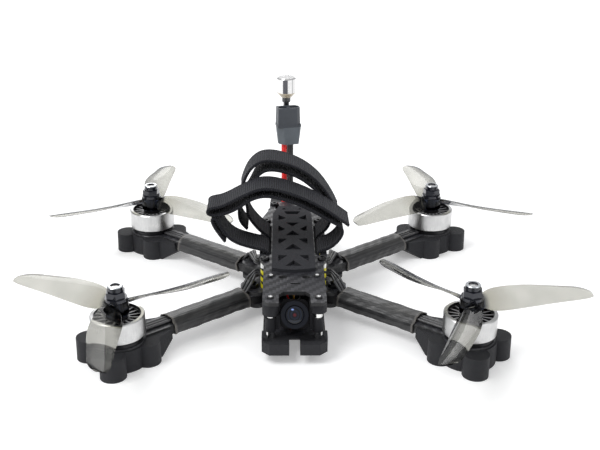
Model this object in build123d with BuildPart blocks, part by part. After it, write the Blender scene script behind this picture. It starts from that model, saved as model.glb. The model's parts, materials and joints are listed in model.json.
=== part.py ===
"""Five-inch camera drone with an X frame, as an assembly of separate pieces.

Frame: millimetres, +Z up, nose towards -Y, origin at the centre of the bottom plate's underside.
"""
from build123d import *
from math import atan2, cos, degrees, hypot, pi, radians, sin
import os

# ---------------------------------------------------------------- driving dimensions
MOTOR_X = 90.0                 # half the distance between left and right motors
MOTOR_Y = 71.0                 # half the distance between front and rear motors
FLOOR_Z = -5.5                 # underside of the feet

BOTTOM_T = 2.5                 # bottom plate
ARM_T = 5.0
MID_T = 2.0
TOP_T = 2.0
DECK_GAP = 15.0                # between the mid plate and the top plate

ARM_W = 13.0
ARM_END_R = 13.6               # round pad under the motor
PAD_REACH = 34.0               # how far the clamp plates follow each arm
PAD_W = 17.0
SPINE_W = 33.0
NOSE_Y = -70.0
TAIL_Y = 70.0

STACK = 25.5                   # bolt square of the electronics
ARM_BOLT_R = 29.0              # arm bolt, distance from the centre
MOTOR_BOLT_R = 8.0             # 16 mm motor bolt circle
M3_CLEAR = 1.6
M3_SHANK = 1.5

STRAP_W = 20.0
STRAP_T = 1.8
SLOT_X = 13.9
FRONT_STRAP_Y = -1.5
REAR_STRAP_Y = 19.3

PROP_R = 64.8
BELL_R = 13.95
SHAFT_R = 2.0
POST_R = 2.5                   # threaded prop post

FRONT_POST = (12.4, -64.0)
SECOND_POST = (12.4, -39.0)
BAND_POST_FRONT = (16.0, -18.0)
BAND_POST_REAR = (15.6, 36.0)
REAR_POST = (11.0, 64.0)
POST_R_ALU = 2.25
POST_R_BAND = 2.4

CAMERA_Y = -56.0               # camera tilt axis
CAMERA_Z = 13.0
CAMERA_TILT = 25.0             # upward tilt at rest, degrees

WIRE_R = 0.8                   # motor wire
LEAD_R = 1.75                  # battery lead
ANTENNA_X = -3.4
ANTENNA_Y = 82.0

# ---------------------------------------------------------------- worked-out levels
ARM_Z = BOTTOM_T
MID_Z = ARM_Z + ARM_T
DECK_Z = MID_Z + MID_T
TOP_Z = DECK_Z + DECK_GAP
ROOF_Z = TOP_Z + TOP_T
BASE_Z = MID_Z                 # motor base sits on the arm
BELL_Z = BASE_Z + 3.0
BELL_TOP = BELL_Z + 11.0
HUB_Z = BELL_TOP + 0.4         # propeller hub
BLADE_Z = BELL_TOP + 5.5
NUT_Z = HUB_Z + 7.6
NUT_TOP = BELL_TOP + 16.0
ARM_ANGLE = degrees(atan2(MOTOR_Y, MOTOR_X))
ARM_LEN = hypot(MOTOR_X, MOTOR_Y)

# name, x side, y side, spin (+1 turns counter-clockwise from above), azimuth of one blade
CORNERS = [
    ("front_left", 1, -1, 1, 11.8),
    ("front_right", -1, -1, -1, 29.7),
    ("rear_left", 1, 1, -1, 93.9),
    ("rear_right", -1, 1, 1, 87.9),
]

os.makedirs("parts", exist_ok=True)


def save(part, name):
    part.label = name
    export_step(part, "parts/" + name + ".step")


def save_group(solids, name):
    group = Compound(label=name, children=solids)
    export_step(group, "parts/" + name + ".step")


def arm_plane(side_x, side_y, z=0.0):
    """Plane at the frame's centre, local x running out along the arm."""
    angle = atan2(side_y * MOTOR_Y, side_x * MOTOR_X)
    return Plane(origin=(0, 0, z), x_dir=(cos(angle), sin(angle), 0), z_dir=(0, 0, 1))


def motor_plane(side_x, side_y, z=0.0):
    """Plane on the motor axis, local x running out along the arm."""
    angle = atan2(side_y * MOTOR_Y, side_x * MOTOR_X)
    return Plane(origin=(side_x * MOTOR_X, side_y * MOTOR_Y, z),
                 x_dir=(cos(angle), sin(angle), 0), z_dir=(0, 0, 1))


def mirrored_pairs(*points):
    return [(side * x, y) for x, y in points for side in (1, -1)]


def corner_points(x, y):
    return [(side_x * x, side_y * y) for side_x in (1, -1) for side_y in (1, -1)]


STACK_POINTS = corner_points(STACK / 2, STACK / 2)
ARM_BOLT_POINTS = corner_points(ARM_BOLT_R * MOTOR_X / ARM_LEN, ARM_BOLT_R * MOTOR_Y / ARM_LEN)
LONG_POSTS = mirrored_pairs(FRONT_POST, SECOND_POST, BAND_POST_REAR, REAR_POST)
SHORT_POSTS = mirrored_pairs(BAND_POST_FRONT)


# ---------------------------------------------------------------- carbon plates and arms
CSK_R = 3.0                    # countersunk M3 head
CSK_DEPTH = 1.5
CAMERA_GAP_W = 16.4
CAMERA_GAP_Y = -57.2


def arm_pads():
    for side_x, side_y in ((1, 1), (1, -1), (-1, 1), (-1, -1)):
        angle = degrees(atan2(side_y * MOTOR_Y, side_x * MOTOR_X))
        with Locations((side_x * MOTOR_X * PAD_REACH / ARM_LEN / 2,
                        side_y * MOTOR_Y * PAD_REACH / ARM_LEN / 2)):
            RectangleRounded(PAD_REACH, PAD_W, 5.0, rotation=angle)


with BuildPart() as bottom_plate:
    with BuildSketch():
        with Locations((0, (NOSE_Y + TAIL_Y) / 2)):
            RectangleRounded(SPINE_W, TAIL_Y - NOSE_Y, 4.0)
        arm_pads()
        with Locations((0, NOSE_Y)):
            Rectangle(CAMERA_GAP_W - 3.4, 2 * (CAMERA_GAP_Y - NOSE_Y) - 8.0, mode=Mode.SUBTRACT)
        with Locations((0, 54.0), (0, -32.0)):
            SlotOverall(15.0, 6.0, mode=Mode.SUBTRACT)
    extrude(amount=BOTTOM_T)
    with Locations(Plane(origin=(0, 0, 0), z_dir=(0, 0, -1), x_dir=(1, 0, 0))):
        with Locations(*[(x, -y) for x, y in STACK_POINTS + ARM_BOLT_POINTS + LONG_POSTS]):
            CounterSinkHole(M3_CLEAR, CSK_R)
save(bottom_plate.part, "bottom_plate")

with BuildPart() as mid_plate:
    with BuildSketch(Plane.XY.offset(MID_Z)):
        RectangleRounded(39.0, 50.0, 4.0)
        arm_pads()
        Circle(6.5, mode=Mode.SUBTRACT)
        with Locations(*(STACK_POINTS + ARM_BOLT_POINTS + SHORT_POSTS)):
            Circle(M3_CLEAR, mode=Mode.SUBTRACT)
    extrude(amount=MID_T)
save(mid_plate.part, "mid_plate")

ROOF_HALF = 19.0
ROOF_TAIL_Y = TAIL_Y - 0.8      # the battery leads rise behind this edge
with BuildPart() as top_plate:
    with BuildSketch(Plane.XY.offset(TOP_Z)):
        with BuildLine():
            Polyline((0, NOSE_Y), (SPINE_W / 2, NOSE_Y), (SPINE_W / 2, -22.5), (ROOF_HALF, -15.0),
                     (ROOF_HALF, 40.0), (14.0, 57.0), (14.0, ROOF_TAIL_Y), (0, ROOF_TAIL_Y))
            mirror(about=Plane.YZ)
        make_face()
        fillet(vertices().filter_by_position(Axis.Y, NOSE_Y - 1, NOSE_Y + 1).sort_by(Axis.X)[0], 4.0)
        fillet(vertices().filter_by_position(Axis.Y, NOSE_Y - 1, NOSE_Y + 1).sort_by(Axis.X)[-1], 4.0)
        with BuildLine():
            half = CAMERA_GAP_W / 2
            Polyline((0, NOSE_Y - 1), (half, NOSE_Y - 1), (half, CAMERA_GAP_Y - 3.2),
                     (half - 2.6, CAMERA_GAP_Y), (0, CAMERA_GAP_Y))
            mirror(about=Plane.YZ)
        make_face(mode=Mode.SUBTRACT)
        for side in (1, -1):
            slot_mid = (FRONT_STRAP_Y + REAR_STRAP_Y) / 2
            with Locations((side * SLOT_X, slot_mid)):
                RectangleRounded(3.0, REAR_STRAP_Y - FRONT_STRAP_Y + STRAP_W + 1.0, 1.4, mode=Mode.SUBTRACT)
        with Locations((-6.0, -40.2), (6.6, -40.2)):
            Ellipse(2.3, 1.7, mode=Mode.SUBTRACT)
        with Locations((0.6, -48.0)):
            SlotOverall(5.5, 1.5, mode=Mode.SUBTRACT)
        with Locations((-9.3, 61.0)):
            SlotOverall(9.0, 2.2, rotation=90, mode=Mode.SUBTRACT)
        with Locations(*(LONG_POSTS + SHORT_POSTS)):
            Circle(M3_CLEAR, mode=Mode.SUBTRACT)
    extrude(amount=TOP_T)
save(top_plate.part, "top_plate")

STACK_ALONG = STACK / 2 * (cos(radians(ARM_ANGLE)) + sin(radians(ARM_ANGLE)))
STACK_ACROSS = STACK / 2 * (cos(radians(ARM_ANGLE)) - sin(radians(ARM_ANGLE)))
ROOT_GAP = 0.15


def build_arm(side_x, side_y):
    """Straight bar with a round motor pad; the root is cut to its own quarter of the frame."""
    mirror_sign = side_x * side_y
    with BuildPart() as arm:
        with BuildSketch(arm_plane(side_x, side_y, ARM_Z)):
            with Locations((ARM_LEN / 2, 0)):
                Rectangle(ARM_LEN, ARM_W)
            with Locations((ARM_LEN, 0)):
                Circle(ARM_END_R)
            with Locations((ARM_LEN, 0)):
                Circle(3.6, mode=Mode.SUBTRACT)
                with PolarLocations(MOTOR_BOLT_R, 4, start_angle=45):
                    Circle(M3_CLEAR, mode=Mode.SUBTRACT)
            with Locations((STACK_ALONG, mirror_sign * STACK_ACROSS), (ARM_BOLT_R, 0)):
                Circle(M3_CLEAR, mode=Mode.SUBTRACT)
        extrude(amount=ARM_T)
        with BuildSketch(Plane.XY.offset(ARM_Z)):
            with Locations((side_x * (100.0 + ROOT_GAP), side_y * (100.0 + ROOT_GAP))):
                Rectangle(200.0, 200.0)
        extrude(amount=ARM_T, mode=Mode.INTERSECT)
        outer = arm.edges().filter_by(GeomType.CIRCLE).filter_by(
            lambda edge: abs(edge.radius - ARM_END_R) < 0.01)
        chamfer(outer, 0.5)
    return arm.part


# ---------------------------------------------------------------- feet and sleeves
FOOT_TOP = 6.6
FOOT_R = 14.7
NECK_OUT = -27.0               # end of the neck along the arm, from the motor axis
LOBE_R = 6.8
LOBE_OUT_R = 16.4
LOBE_OUT_ANGLE = 48.0
LOBE_IN_R = 14.6
LOBE_IN_ANGLE = 135.0
LEDGE_Z = 1.0                  # the motor screws clamp the foot up to this level
SCREW_HEAD_R = 2.8


def neck_plane(side_x, side_y):
    """Upright plane through the motor axis, local x running out along the arm, local y up."""
    angle = atan2(side_y * MOTOR_Y, side_x * MOTOR_X)
    return Plane(origin=(side_x * MOTOR_X, side_y * MOTOR_Y, 0),
                 x_dir=(cos(angle), sin(angle), 0), z_dir=(sin(angle), -cos(angle), 0))


def build_foot(side_x, side_y):
    """Printed block with four rounded lobes round the arm's end and a taper along the arm."""
    with BuildPart() as foot:
        with BuildSketch(motor_plane(side_x, side_y, FLOOR_Z)):
            Circle(FOOT_R)
            with PolarLocations(LOBE_OUT_R, 2, start_angle=-LOBE_OUT_ANGLE, angular_range=2 * LOBE_OUT_ANGLE,
                                endpoint=True):
                Circle(LOBE_R)
            with PolarLocations(LOBE_IN_R, 2, start_angle=LOBE_IN_ANGLE,
                                angular_range=360.0 - 2 * LOBE_IN_ANGLE, endpoint=True):
                Circle(LOBE_R)
            with BuildLine():
                Polyline((-10.0, -14.0), (NECK_OUT, -8.2), (NECK_OUT, 8.2), (-10.0, 14.0), (-10.0, -14.0))
            make_face()
        extrude(amount=FOOT_TOP - FLOOR_Z, taper=1.2)
        with BuildSketch(motor_plane(side_x, side_y, ARM_Z)):
            Circle(ARM_END_R + 0.15)
            with Locations((-20.0, 0)):
                Rectangle(40.0, ARM_W + 0.4)
        extrude(amount=20.0, mode=Mode.SUBTRACT)
        with BuildSketch(motor_plane(side_x, side_y, FLOOR_Z - 1.0)):
            with PolarLocations(MOTOR_BOLT_R, 4, start_angle=45):
                Circle(SCREW_HEAD_R + 0.3)
        extrude(amount=LEDGE_Z - FLOOR_Z + 1.0, mode=Mode.SUBTRACT)
        with BuildSketch(neck_plane(side_x, side_y)):
            with BuildLine():
                Polyline((NECK_OUT + 9.5, FLOOR_Z - 1.0), (NECK_OUT + 8.5, FLOOR_Z), (NECK_OUT, LEDGE_Z),
                         (NECK_OUT - 5.0, LEDGE_Z), (NECK_OUT - 5.0, FLOOR_Z - 1.0), close=True)
            make_face()
        extrude(amount=20.0, both=True, mode=Mode.SUBTRACT)
        with BuildSketch(motor_plane(side_x, side_y, LEDGE_Z)):
            with PolarLocations(MOTOR_BOLT_R, 4, start_angle=45):
                Circle(M3_CLEAR)
        extrude(amount=ARM_Z - LEDGE_Z, mode=Mode.SUBTRACT)
    return foot.part


SLEEVE_START = 36.5
SLEEVE_END = 85.5
SLEEVE_W = 15.4
SLEEVE_LOW = 1.3
SLEEVE_HIGH = 10.7
SLEEVE_WALL = 0.9


def build_sleeve(side_x, side_y):
    """Shrink tube round the arm and the wires lying on it."""
    angle = atan2(side_y * MOTOR_Y, side_x * MOTOR_X)
    out = Vector(cos(angle), sin(angle), 0)
    start = Plane(origin=out * SLEEVE_START + Vector(0, 0, (SLEEVE_LOW + SLEEVE_HIGH) / 2),
                  x_dir=(-sin(angle), cos(angle), 0), z_dir=out)
    height = SLEEVE_HIGH - SLEEVE_LOW
    with BuildPart() as sleeve:
        with BuildSketch(start):
            RectangleRounded(SLEEVE_W, height, 2.2)
            RectangleRounded(SLEEVE_W - 2 * SLEEVE_WALL, height - 2 * SLEEVE_WALL, 0.6, mode=Mode.SUBTRACT)
        extrude(amount=SLEEVE_END - SLEEVE_START)
    return sleeve.part


# ---------------------------------------------------------------- motors
TUBE_R = 5.4                   # bearing tube, outside
BEARING_R = 4.5
BEARING_H = 3.0
TUBE_TOP = BELL_Z + 7.2
STATOR_R = 11.3
STATOR_Z = BELL_Z + 1.0
STATOR_H = 6.0
MAGNET_R = 11.75
SHAFT_BORE = SHAFT_R + 0.05
BASE_R = 12.6


def build_motor_base(side_x, side_y):
    with BuildPart() as base:
        with BuildSketch(motor_plane(side_x, side_y, BASE_Z)):
            Circle(BASE_R)
            Circle(BEARING_R, mode=Mode.SUBTRACT)
            with PolarLocations(MOTOR_BOLT_R, 4, start_angle=45):
                Circle(1.25, mode=Mode.SUBTRACT)
            with PolarLocations(8.9, 4):
                SlotOverall(4.6, 3.2, rotation=90, mode=Mode.SUBTRACT)
        extrude(amount=2.0)
        with BuildSketch(motor_plane(side_x, side_y, BASE_Z)):
            Circle(TUBE_R)
            Circle(BEARING_R, mode=Mode.SUBTRACT)
        extrude(amount=TUBE_TOP - BASE_Z)
        with BuildSketch(motor_plane(side_x, side_y, BASE_Z + BEARING_H)):
            Circle(BEARING_R)
            Circle(3.4, mode=Mode.SUBTRACT)
        extrude(amount=TUBE_TOP - BASE_Z - 2 * BEARING_H)
    return base.part


def build_bearing(side_x, side_y, z):
    """Ball bearing drawn as one ring with its shields set back from the faces."""
    plane = motor_plane(side_x, side_y, z)
    with BuildPart() as bearing:
        with BuildSketch(plane):
            Circle(BEARING_R)
            Circle(SHAFT_BORE, mode=Mode.SUBTRACT)
        extrude(amount=BEARING_H)
        with BuildSketch(plane, plane.offset(BEARING_H - 0.3)):
            Circle(3.9)
            Circle(2.8, mode=Mode.SUBTRACT)
        extrude(amount=0.3, mode=Mode.SUBTRACT)
    return bearing.part


def build_stator(side_x, side_y):
    """Twelve wound teeth on a laminated ring."""
    with BuildPart() as stator:
        with BuildSketch(motor_plane(side_x, side_y, STATOR_Z)):
            Circle(7.2)
            with PolarLocations(8.6, 12):
                Rectangle(3.4, 1.5)
            with PolarLocations(10.75, 12):
                Rectangle(1.0, 4.9)
            Circle(TUBE_R, mode=Mode.SUBTRACT)
        extrude(amount=STATOR_H)
        with BuildSketch(motor_plane(side_x, side_y, STATOR_Z - 0.4)):
            with PolarLocations(8.75, 12):
                Rectangle(2.7, 3.0)
        extrude(amount=STATOR_H + 0.8)
    return stator.part


SPOKES = 18
SPOKE_Z = BELL_TOP - 3.2
LIP_IN = 11.9


def build_bell(side_x, side_y):
    """Steel ring with magnets, recessed spokes, hub, shaft and prop post."""
    with BuildPart() as bell:
        with BuildSketch(motor_plane(side_x, side_y, BELL_Z)):
            Circle(BELL_R)
            Circle(MAGNET_R, mode=Mode.SUBTRACT)
        extrude(amount=SPOKE_Z - BELL_Z + 1.4)
        with BuildSketch(motor_plane(side_x, side_y, SPOKE_Z)):
            Circle(BELL_R)
            Circle(LIP_IN, mode=Mode.SUBTRACT)
        extrude(amount=BELL_TOP - SPOKE_Z)
        rims = bell.edges().filter_by(GeomType.CIRCLE).filter_by(lambda edge: abs(edge.radius - BELL_R) < 0.01)
        chamfer(rims.sort_by(Axis.Z)[-1], 0.5)
        chamfer(rims.sort_by(Axis.Z)[0], 0.3)
        with BuildSketch(motor_plane(side_x, side_y, SPOKE_Z)):
            Circle(6.2)
            with PolarLocations(9.2, SPOKES):
                Rectangle(6.6, 0.9)
        extrude(amount=1.4)
        with BuildSketch(motor_plane(side_x, side_y, SPOKE_Z)):
            Circle(5.4)
        extrude(amount=BELL_TOP + 0.4 - SPOKE_Z)
        with BuildSketch(motor_plane(side_x, side_y, BASE_Z + 0.4)):
            Circle(SHAFT_R)
        extrude(amount=SPOKE_Z - BASE_Z - 0.4)
        with BuildSketch(motor_plane(side_x, side_y, BELL_TOP)):
            Circle(POST_R)
        extrude(amount=NUT_TOP - 0.9 - BELL_TOP)
    return bell.part


# radius, chord, pitch angle, thickness, sweep back of the middle of the section
BLADE_STATIONS = [
    (5.0, 6.6, 34.0, 2.6, 0.0),
    (12.0, 13.2, 33.0, 2.0, -0.6),
    (24.0, 15.4, 25.0, 1.6, -1.2),
    (38.0, 14.6, 18.5, 1.3, -0.8),
    (52.0, 12.2, 14.0, 1.1, 0.8),
    (61.5, 9.2, 11.5, 0.9, 2.4),
    (PROP_R, 5.2, 11.0, 0.6, 3.8),
]
BLADE_CAMBER = 0.055           # camber height over chord
HUB_R = 6.2
HUB_H = NUT_Z - HUB_Z


def build_propeller(side_x, side_y, spin, azimuth):
    """Three twisted blades on a hub; the leading edge is the higher one."""
    centre = Vector(side_x * MOTOR_X, side_y * MOTOR_Y, 0)
    with BuildPart() as propeller:
        with BuildSketch(motor_plane(side_x, side_y, HUB_Z)):
            Circle(HUB_R)
        extrude(amount=HUB_H)
        fillet(propeller.edges().filter_by(GeomType.CIRCLE).sort_by(Axis.Z)[-1], 0.8)
        for turn in range(3):
            phi = radians(azimuth + 120.0 * turn)
            radial = Vector(cos(phi), sin(phi), 0)
            tangent = Vector(-sin(phi), cos(phi), 0) * spin
            for radius, chord, pitch, thick, sweep in BLADE_STATIONS:
                along = tangent * cos(radians(pitch)) + Vector(0, 0, sin(radians(pitch)))
                origin = centre + radial * radius - tangent * sweep + Vector(0, 0, BLADE_Z)
                section = Plane(origin=origin, x_dir=along, z_dir=radial)
                crown = chord * BLADE_CAMBER * spin
                with BuildSketch(section):
                    with BuildLine():
                        ThreePointArc((-chord / 2, 0), (0, crown + thick / 2), (chord / 2, 0))
                        ThreePointArc((chord / 2, 0), (0, crown - thick / 2), (-chord / 2, 0))
                    make_face()
            loft()
        with BuildSketch(motor_plane(side_x, side_y, HUB_Z)):
            Circle(POST_R)
        extrude(amount=HUB_H + 5.0, mode=Mode.SUBTRACT)
        with BuildSketch(motor_plane(side_x, side_y, HUB_Z - 5.0)):
            Circle(5.6)
        extrude(amount=5.0, mode=Mode.SUBTRACT)
    return propeller.part


NUT_FLANGE_H = 1.5
NUT_HEX_H = 3.5
NUT_COLLAR_R = 4.0


def build_prop_nut(side_x, side_y):
    """Flanged hexagon lock nut with a round collar."""
    with BuildPart() as nut:
        with BuildSketch(motor_plane(side_x, side_y, NUT_Z)):
            Circle(5.7)
        extrude(amount=NUT_FLANGE_H)
        with BuildSketch(motor_plane(side_x, side_y, NUT_Z + NUT_FLANGE_H)):
            RegularPolygon(4.6, 6, major_radius=False)
        extrude(amount=NUT_HEX_H)
        with BuildSketch(motor_plane(side_x, side_y, NUT_Z + NUT_FLANGE_H + NUT_HEX_H)):
            Circle(NUT_COLLAR_R)
        extrude(amount=NUT_TOP - NUT_Z - NUT_FLANGE_H - NUT_HEX_H)
        with BuildSketch(motor_plane(side_x, side_y, NUT_Z)):
            Circle(POST_R)
        extrude(amount=NUT_TOP - NUT_Z, mode=Mode.SUBTRACT)
        top_rim = nut.edges().filter_by(GeomType.CIRCLE).filter_by(
            lambda edge: abs(edge.radius - NUT_COLLAR_R) < 0.01).sort_by(Axis.Z)[-1]
        chamfer(top_rim, 0.4)
    return nut.part


def build_motor_screw(x, y):
    """M3 screw from below, head in the foot, thread in the motor base."""
    with BuildPart() as screw:
        with BuildSketch(Plane.XY.offset(LEDGE_Z - 1.7)):
            with Locations((x, y)):
                Circle(SCREW_HEAD_R)
        extrude(amount=1.7)
        with BuildSketch(Plane.XY.offset(LEDGE_Z)):
            with Locations((x, y)):
                Circle(1.25)
        extrude(amount=BASE_Z + 1.8 - LEDGE_Z)
        with BuildSketch(Plane.XY.offset(LEDGE_Z - 1.7)):
            with Locations((x, y)):
                RegularPolygon(1.0, 6)
        extrude(amount=1.0, mode=Mode.SUBTRACT)
    return screw.part


WIRE_PITCH = 2.2
WIRE_END_PITCH = 2.9


def build_motor_wire(side_x, side_y, lane):
    """One motor wire: along the arm, up over the clamp plate's nut, in to the speed controller's edge."""
    plane = arm_plane(side_x, side_y)
    across = lane * WIRE_PITCH
    lie_z = MID_Z + WIRE_R + 0.1
    base_edge = ARM_LEN - BASE_R - 0.3
    end_x = side_x * (ESC_SIZE / 2 + 0.1)
    end_y = side_y * (7.4 + WIRE_END_PITCH * lane * side_x * side_y)
    end_z = ESC_Z + PCB_T / 2
    points = [plane.from_local_coords(Vector(*point)) for point in (
        (base_edge, across, lie_z), (36.0, across, lie_z), (31.2, across * 1.2, 14.6))]
    points += [Vector(side_x * 21.6, end_y, end_z + 0.6), Vector(end_x, end_y, end_z)]
    with BuildPart() as wire:
        with BuildLine():
            path = FilletPolyline(*points, radius=[4.0, 3.6, 3.0])
        with BuildSketch(Plane(origin=path @ 0, z_dir=path % 0)):
            Circle(WIRE_R)
        sweep()
    return wire.part


# ---------------------------------------------------------------- electronics
ESC_Z = 12.2
PCB_T = 1.6
ESC_TOP = ESC_Z + PCB_T
FC_Z = 17.2
ESC_SIZE = 31.5
FC_SIZE = 31.0
GROMMET_R = 2.9
GROMMET_BORE = M3_SHANK
LEAD_START_Y = 20.6
LEAD_X = (-4.8, -0.7)          # red, black
BUTTON_R = 0.8


def build_board(size, z, chips):
    """Square board with bolt holes; chips are (x, y, wide, deep, high) on its top."""
    with BuildPart() as board:
        with BuildSketch(Plane.XY.offset(z)):
            RectangleRounded(size, size, 2.0)
            with GridLocations(STACK, STACK, 2, 2):
                Circle(GROMMET_R - 0.7, mode=Mode.SUBTRACT)
        extrude(amount=PCB_T)
        for x, y, wide, deep, high in chips:
            with BuildSketch(Plane.XY.offset(z + PCB_T)):
                with Locations((x, y)):
                    Rectangle(wide, deep)
            extrude(amount=high)
    return board.part


with BuildPart() as speed_controller:
    add(build_board(ESC_SIZE, ESC_Z, [
        (-6.5, -6.5, 5.0, 6.0, 1.0), (6.5, -6.5, 5.0, 6.0, 1.0), (-6.5, 6.5, 5.0, 6.0, 1.0),
        (6.5, 6.5, 5.0, 6.0, 1.0), (0, 0, 4.0, 4.0, 0.9), (0, -12.6, 9.0, 4.0, 1.6),
    ]))
    with BuildSketch(Plane.XY.offset(ESC_Z)):
        with Locations(*[(x, LEAD_START_Y - 2.8) for x in LEAD_X]):
            Rectangle(3.6, 5.6)
    extrude(amount=3.6)
save(speed_controller.part, "speed_controller")

BUTTON_X = 7.6
BUTTON_Y = -5.6
FC_TOP = FC_Z + PCB_T
with BuildPart() as flight_controller:
    add(build_board(FC_SIZE, FC_Z, [
        (0, 1.0, 7.0, 7.0, 1.0), (-7.5, 8.0, 3.0, 3.0, 0.8), (7.5, 8.0, 4.0, 3.0, 0.9),
        (0, -12.4, 8.0, 4.6, 2.4), (-8.0, -6.0, 3.0, 2.0, 0.7), (BUTTON_X, BUTTON_Y, 4.0, 3.6, 1.3),
    ]))
    with BuildSketch(Plane.XY.offset(FC_TOP + 0.4)):
        with Locations((BUTTON_X, BUTTON_Y)):
            Circle(BUTTON_R + 0.08)
    extrude(amount=2.0, mode=Mode.SUBTRACT)
save(flight_controller.part, "flight_controller")

with BuildPart() as boot_button:
    with BuildSketch(Plane.XY.offset(FC_TOP + 0.8)):
        with Locations((BUTTON_X, BUTTON_Y)):
            Circle(BUTTON_R)
    extrude(amount=0.9)
save(boot_button.part, "boot_button")


def build_grommet(x, y, z):
    """Rubber bush snapped into a board hole."""
    with BuildPart() as grommet:
        with BuildSketch(Plane.XY.offset(z - 1.0)):
            with Locations((x, y)):
                Circle(GROMMET_R)
                Circle(GROMMET_BORE, mode=Mode.SUBTRACT)
        extrude(amount=1.0)
        with BuildSketch(Plane.XY.offset(z)):
            with Locations((x, y)):
                Circle(GROMMET_R - 0.7)
                Circle(GROMMET_BORE, mode=Mode.SUBTRACT)
        extrude(amount=PCB_T)
        with BuildSketch(Plane.XY.offset(z + PCB_T)):
            with Locations((x, y)):
                Circle(GROMMET_R)
                Circle(GROMMET_BORE, mode=Mode.SUBTRACT)
        extrude(amount=0.7)
    return grommet.part


def build_stack_bolt(x, y):
    """Countersunk bolt from below with the nuts that space the boards, drawn as one solid."""
    nuts = [(DECK_Z, ESC_Z - 1.0), (ESC_TOP + 0.7, FC_Z - 1.0), (FC_TOP + 0.7, FC_TOP + 2.5)]
    with BuildPart() as bolt:
        with BuildSketch(Plane.XY):
            with Locations((x, y)):
                Circle(CSK_R - 0.05)
        with BuildSketch(Plane.XY.offset(CSK_DEPTH - 0.05)):
            with Locations((x, y)):
                Circle(M3_SHANK)
        loft()
        with BuildSketch(Plane.XY.offset(CSK_DEPTH - 0.05)):
            with Locations((x, y)):
                Circle(M3_SHANK)
        extrude(amount=FC_TOP + 2.5 - CSK_DEPTH + 0.05)
        for low, high in nuts:
            with BuildSketch(Plane.XY.offset(low)):
                with Locations((x, y)):
                    RegularPolygon(2.7, 6, major_radius=False)
            extrude(amount=high - low)
        with BuildSketch(Plane.XY):
            with Locations((x, y)):
                RegularPolygon(1.0, 6)
        extrude(amount=0.9, mode=Mode.SUBTRACT)
    return bolt.part


save_group([build_stack_bolt(x, y) for x, y in STACK_POINTS], "stack_bolts")
save_group([build_grommet(x, y, z) for x, y in STACK_POINTS for z in (ESC_Z, FC_Z)], "grommets")

VTX_X = -1.0
VTX_Y = 47.0
with BuildPart() as video_transmitter:
    with BuildSketch(Plane.XY.offset(BOTTOM_T + 1.2)):
        with Locations((VTX_X, VTX_Y)):
            RectangleRounded(22.0, 28.0, 1.5)
    extrude(amount=1.4)
    with BuildSketch(Plane.XY.offset(BOTTOM_T + 2.6)):
        with Locations((VTX_X, VTX_Y - 2.0)):
            Rectangle(19.0, 19.0)
    extrude(amount=3.0)
    with BuildSketch(Plane.XY.offset(BOTTOM_T)):
        with Locations((VTX_X, VTX_Y)):
            Rectangle(16.0, 20.0)
    extrude(amount=1.2)
save(video_transmitter.part, "video_transmitter")

with BuildPart() as receiver:
    with BuildSketch(Plane.XY.offset(BOTTOM_T)):
        with Locations((0, -42.5)):
            RectangleRounded(11.0, 15.0, 1.0)
    extrude(amount=1.2)
    with BuildSketch(Plane.XY.offset(BOTTOM_T + 1.2)):
        with Locations((0, -41.5)):
            Rectangle(7.0, 7.0)
    extrude(amount=1.2)
save(receiver.part, "receiver")

CAP_R = 4.0
CAP_Y = 43.5
with BuildPart() as capacitor:
    with BuildSketch(Plane(origin=(-9.0, CAP_Y, TOP_Z - CAP_R - 0.3), x_dir=(0, 1, 0), z_dir=(1, 0, 0))):
        Circle(CAP_R)
    extrude(amount=18.0)
    fillet(capacitor.edges().filter_by(GeomType.CIRCLE), 0.6)
save(capacitor.part, "capacitor")


# ---------------------------------------------------------------- standoffs and screws
def build_post(x, y, low, high, radius, flutes):
    """Round threaded spacer; the banded kind has shallow turned grooves."""
    with BuildPart() as post:
        with BuildSketch(Plane.XY.offset(low)):
            with Locations((x, y)):
                Circle(radius)
        extrude(amount=high - low)
        for index in range(flutes):
            level = low + (high - low) * (index + 1) / (flutes + 1)
            with BuildSketch(Plane.XY.offset(level - 0.3)):
                with Locations((x, y)):
                    Circle(radius)
                    Circle(radius - 0.2, mode=Mode.SUBTRACT)
            extrude(amount=0.6, mode=Mode.SUBTRACT)
        for start in (low, high - 6.0):
            with BuildSketch(Plane.XY.offset(start)):
                with Locations((x, y)):
                    Circle(1.25)
            extrude(amount=6.0, mode=Mode.SUBTRACT)
    return post.part


save_group([build_post(x, y, BOTTOM_T, TOP_Z, POST_R_ALU, 0)
            for x, y in mirrored_pairs(FRONT_POST, SECOND_POST, REAR_POST)], "plain_standoffs")
save_group([build_post(x, y, DECK_Z, TOP_Z, POST_R_BAND, 4) for x, y in mirrored_pairs(BAND_POST_FRONT)]
           + [build_post(x, y, BOTTOM_T, TOP_Z, POST_R_BAND, 4) for x, y in mirrored_pairs(BAND_POST_REAR)],
           "banded_standoffs")


def build_top_screw(x, y, head_r, head_h):
    with BuildPart() as screw:
        with BuildSketch(Plane.XY.offset(ROOF_Z)):
            with Locations((x, y)):
                Circle(head_r)
        extrude(amount=head_h)
        fillet(screw.edges().filter_by(GeomType.CIRCLE).sort_by(Axis.Z)[-1], head_h * 0.6)
        with BuildSketch(Plane.XY.offset(TOP_Z - 5.0)):
            with Locations((x, y)):
                Circle(1.25)
        extrude(amount=ROOF_Z - TOP_Z + 5.0)
        with BuildSketch(Plane.XY.offset(ROOF_Z + head_h * 0.35)):
            with Locations((x, y)):
                RegularPolygon(min(1.15, head_r * 0.55), 6)
        extrude(amount=head_h, mode=Mode.SUBTRACT)
    return screw.part


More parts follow.
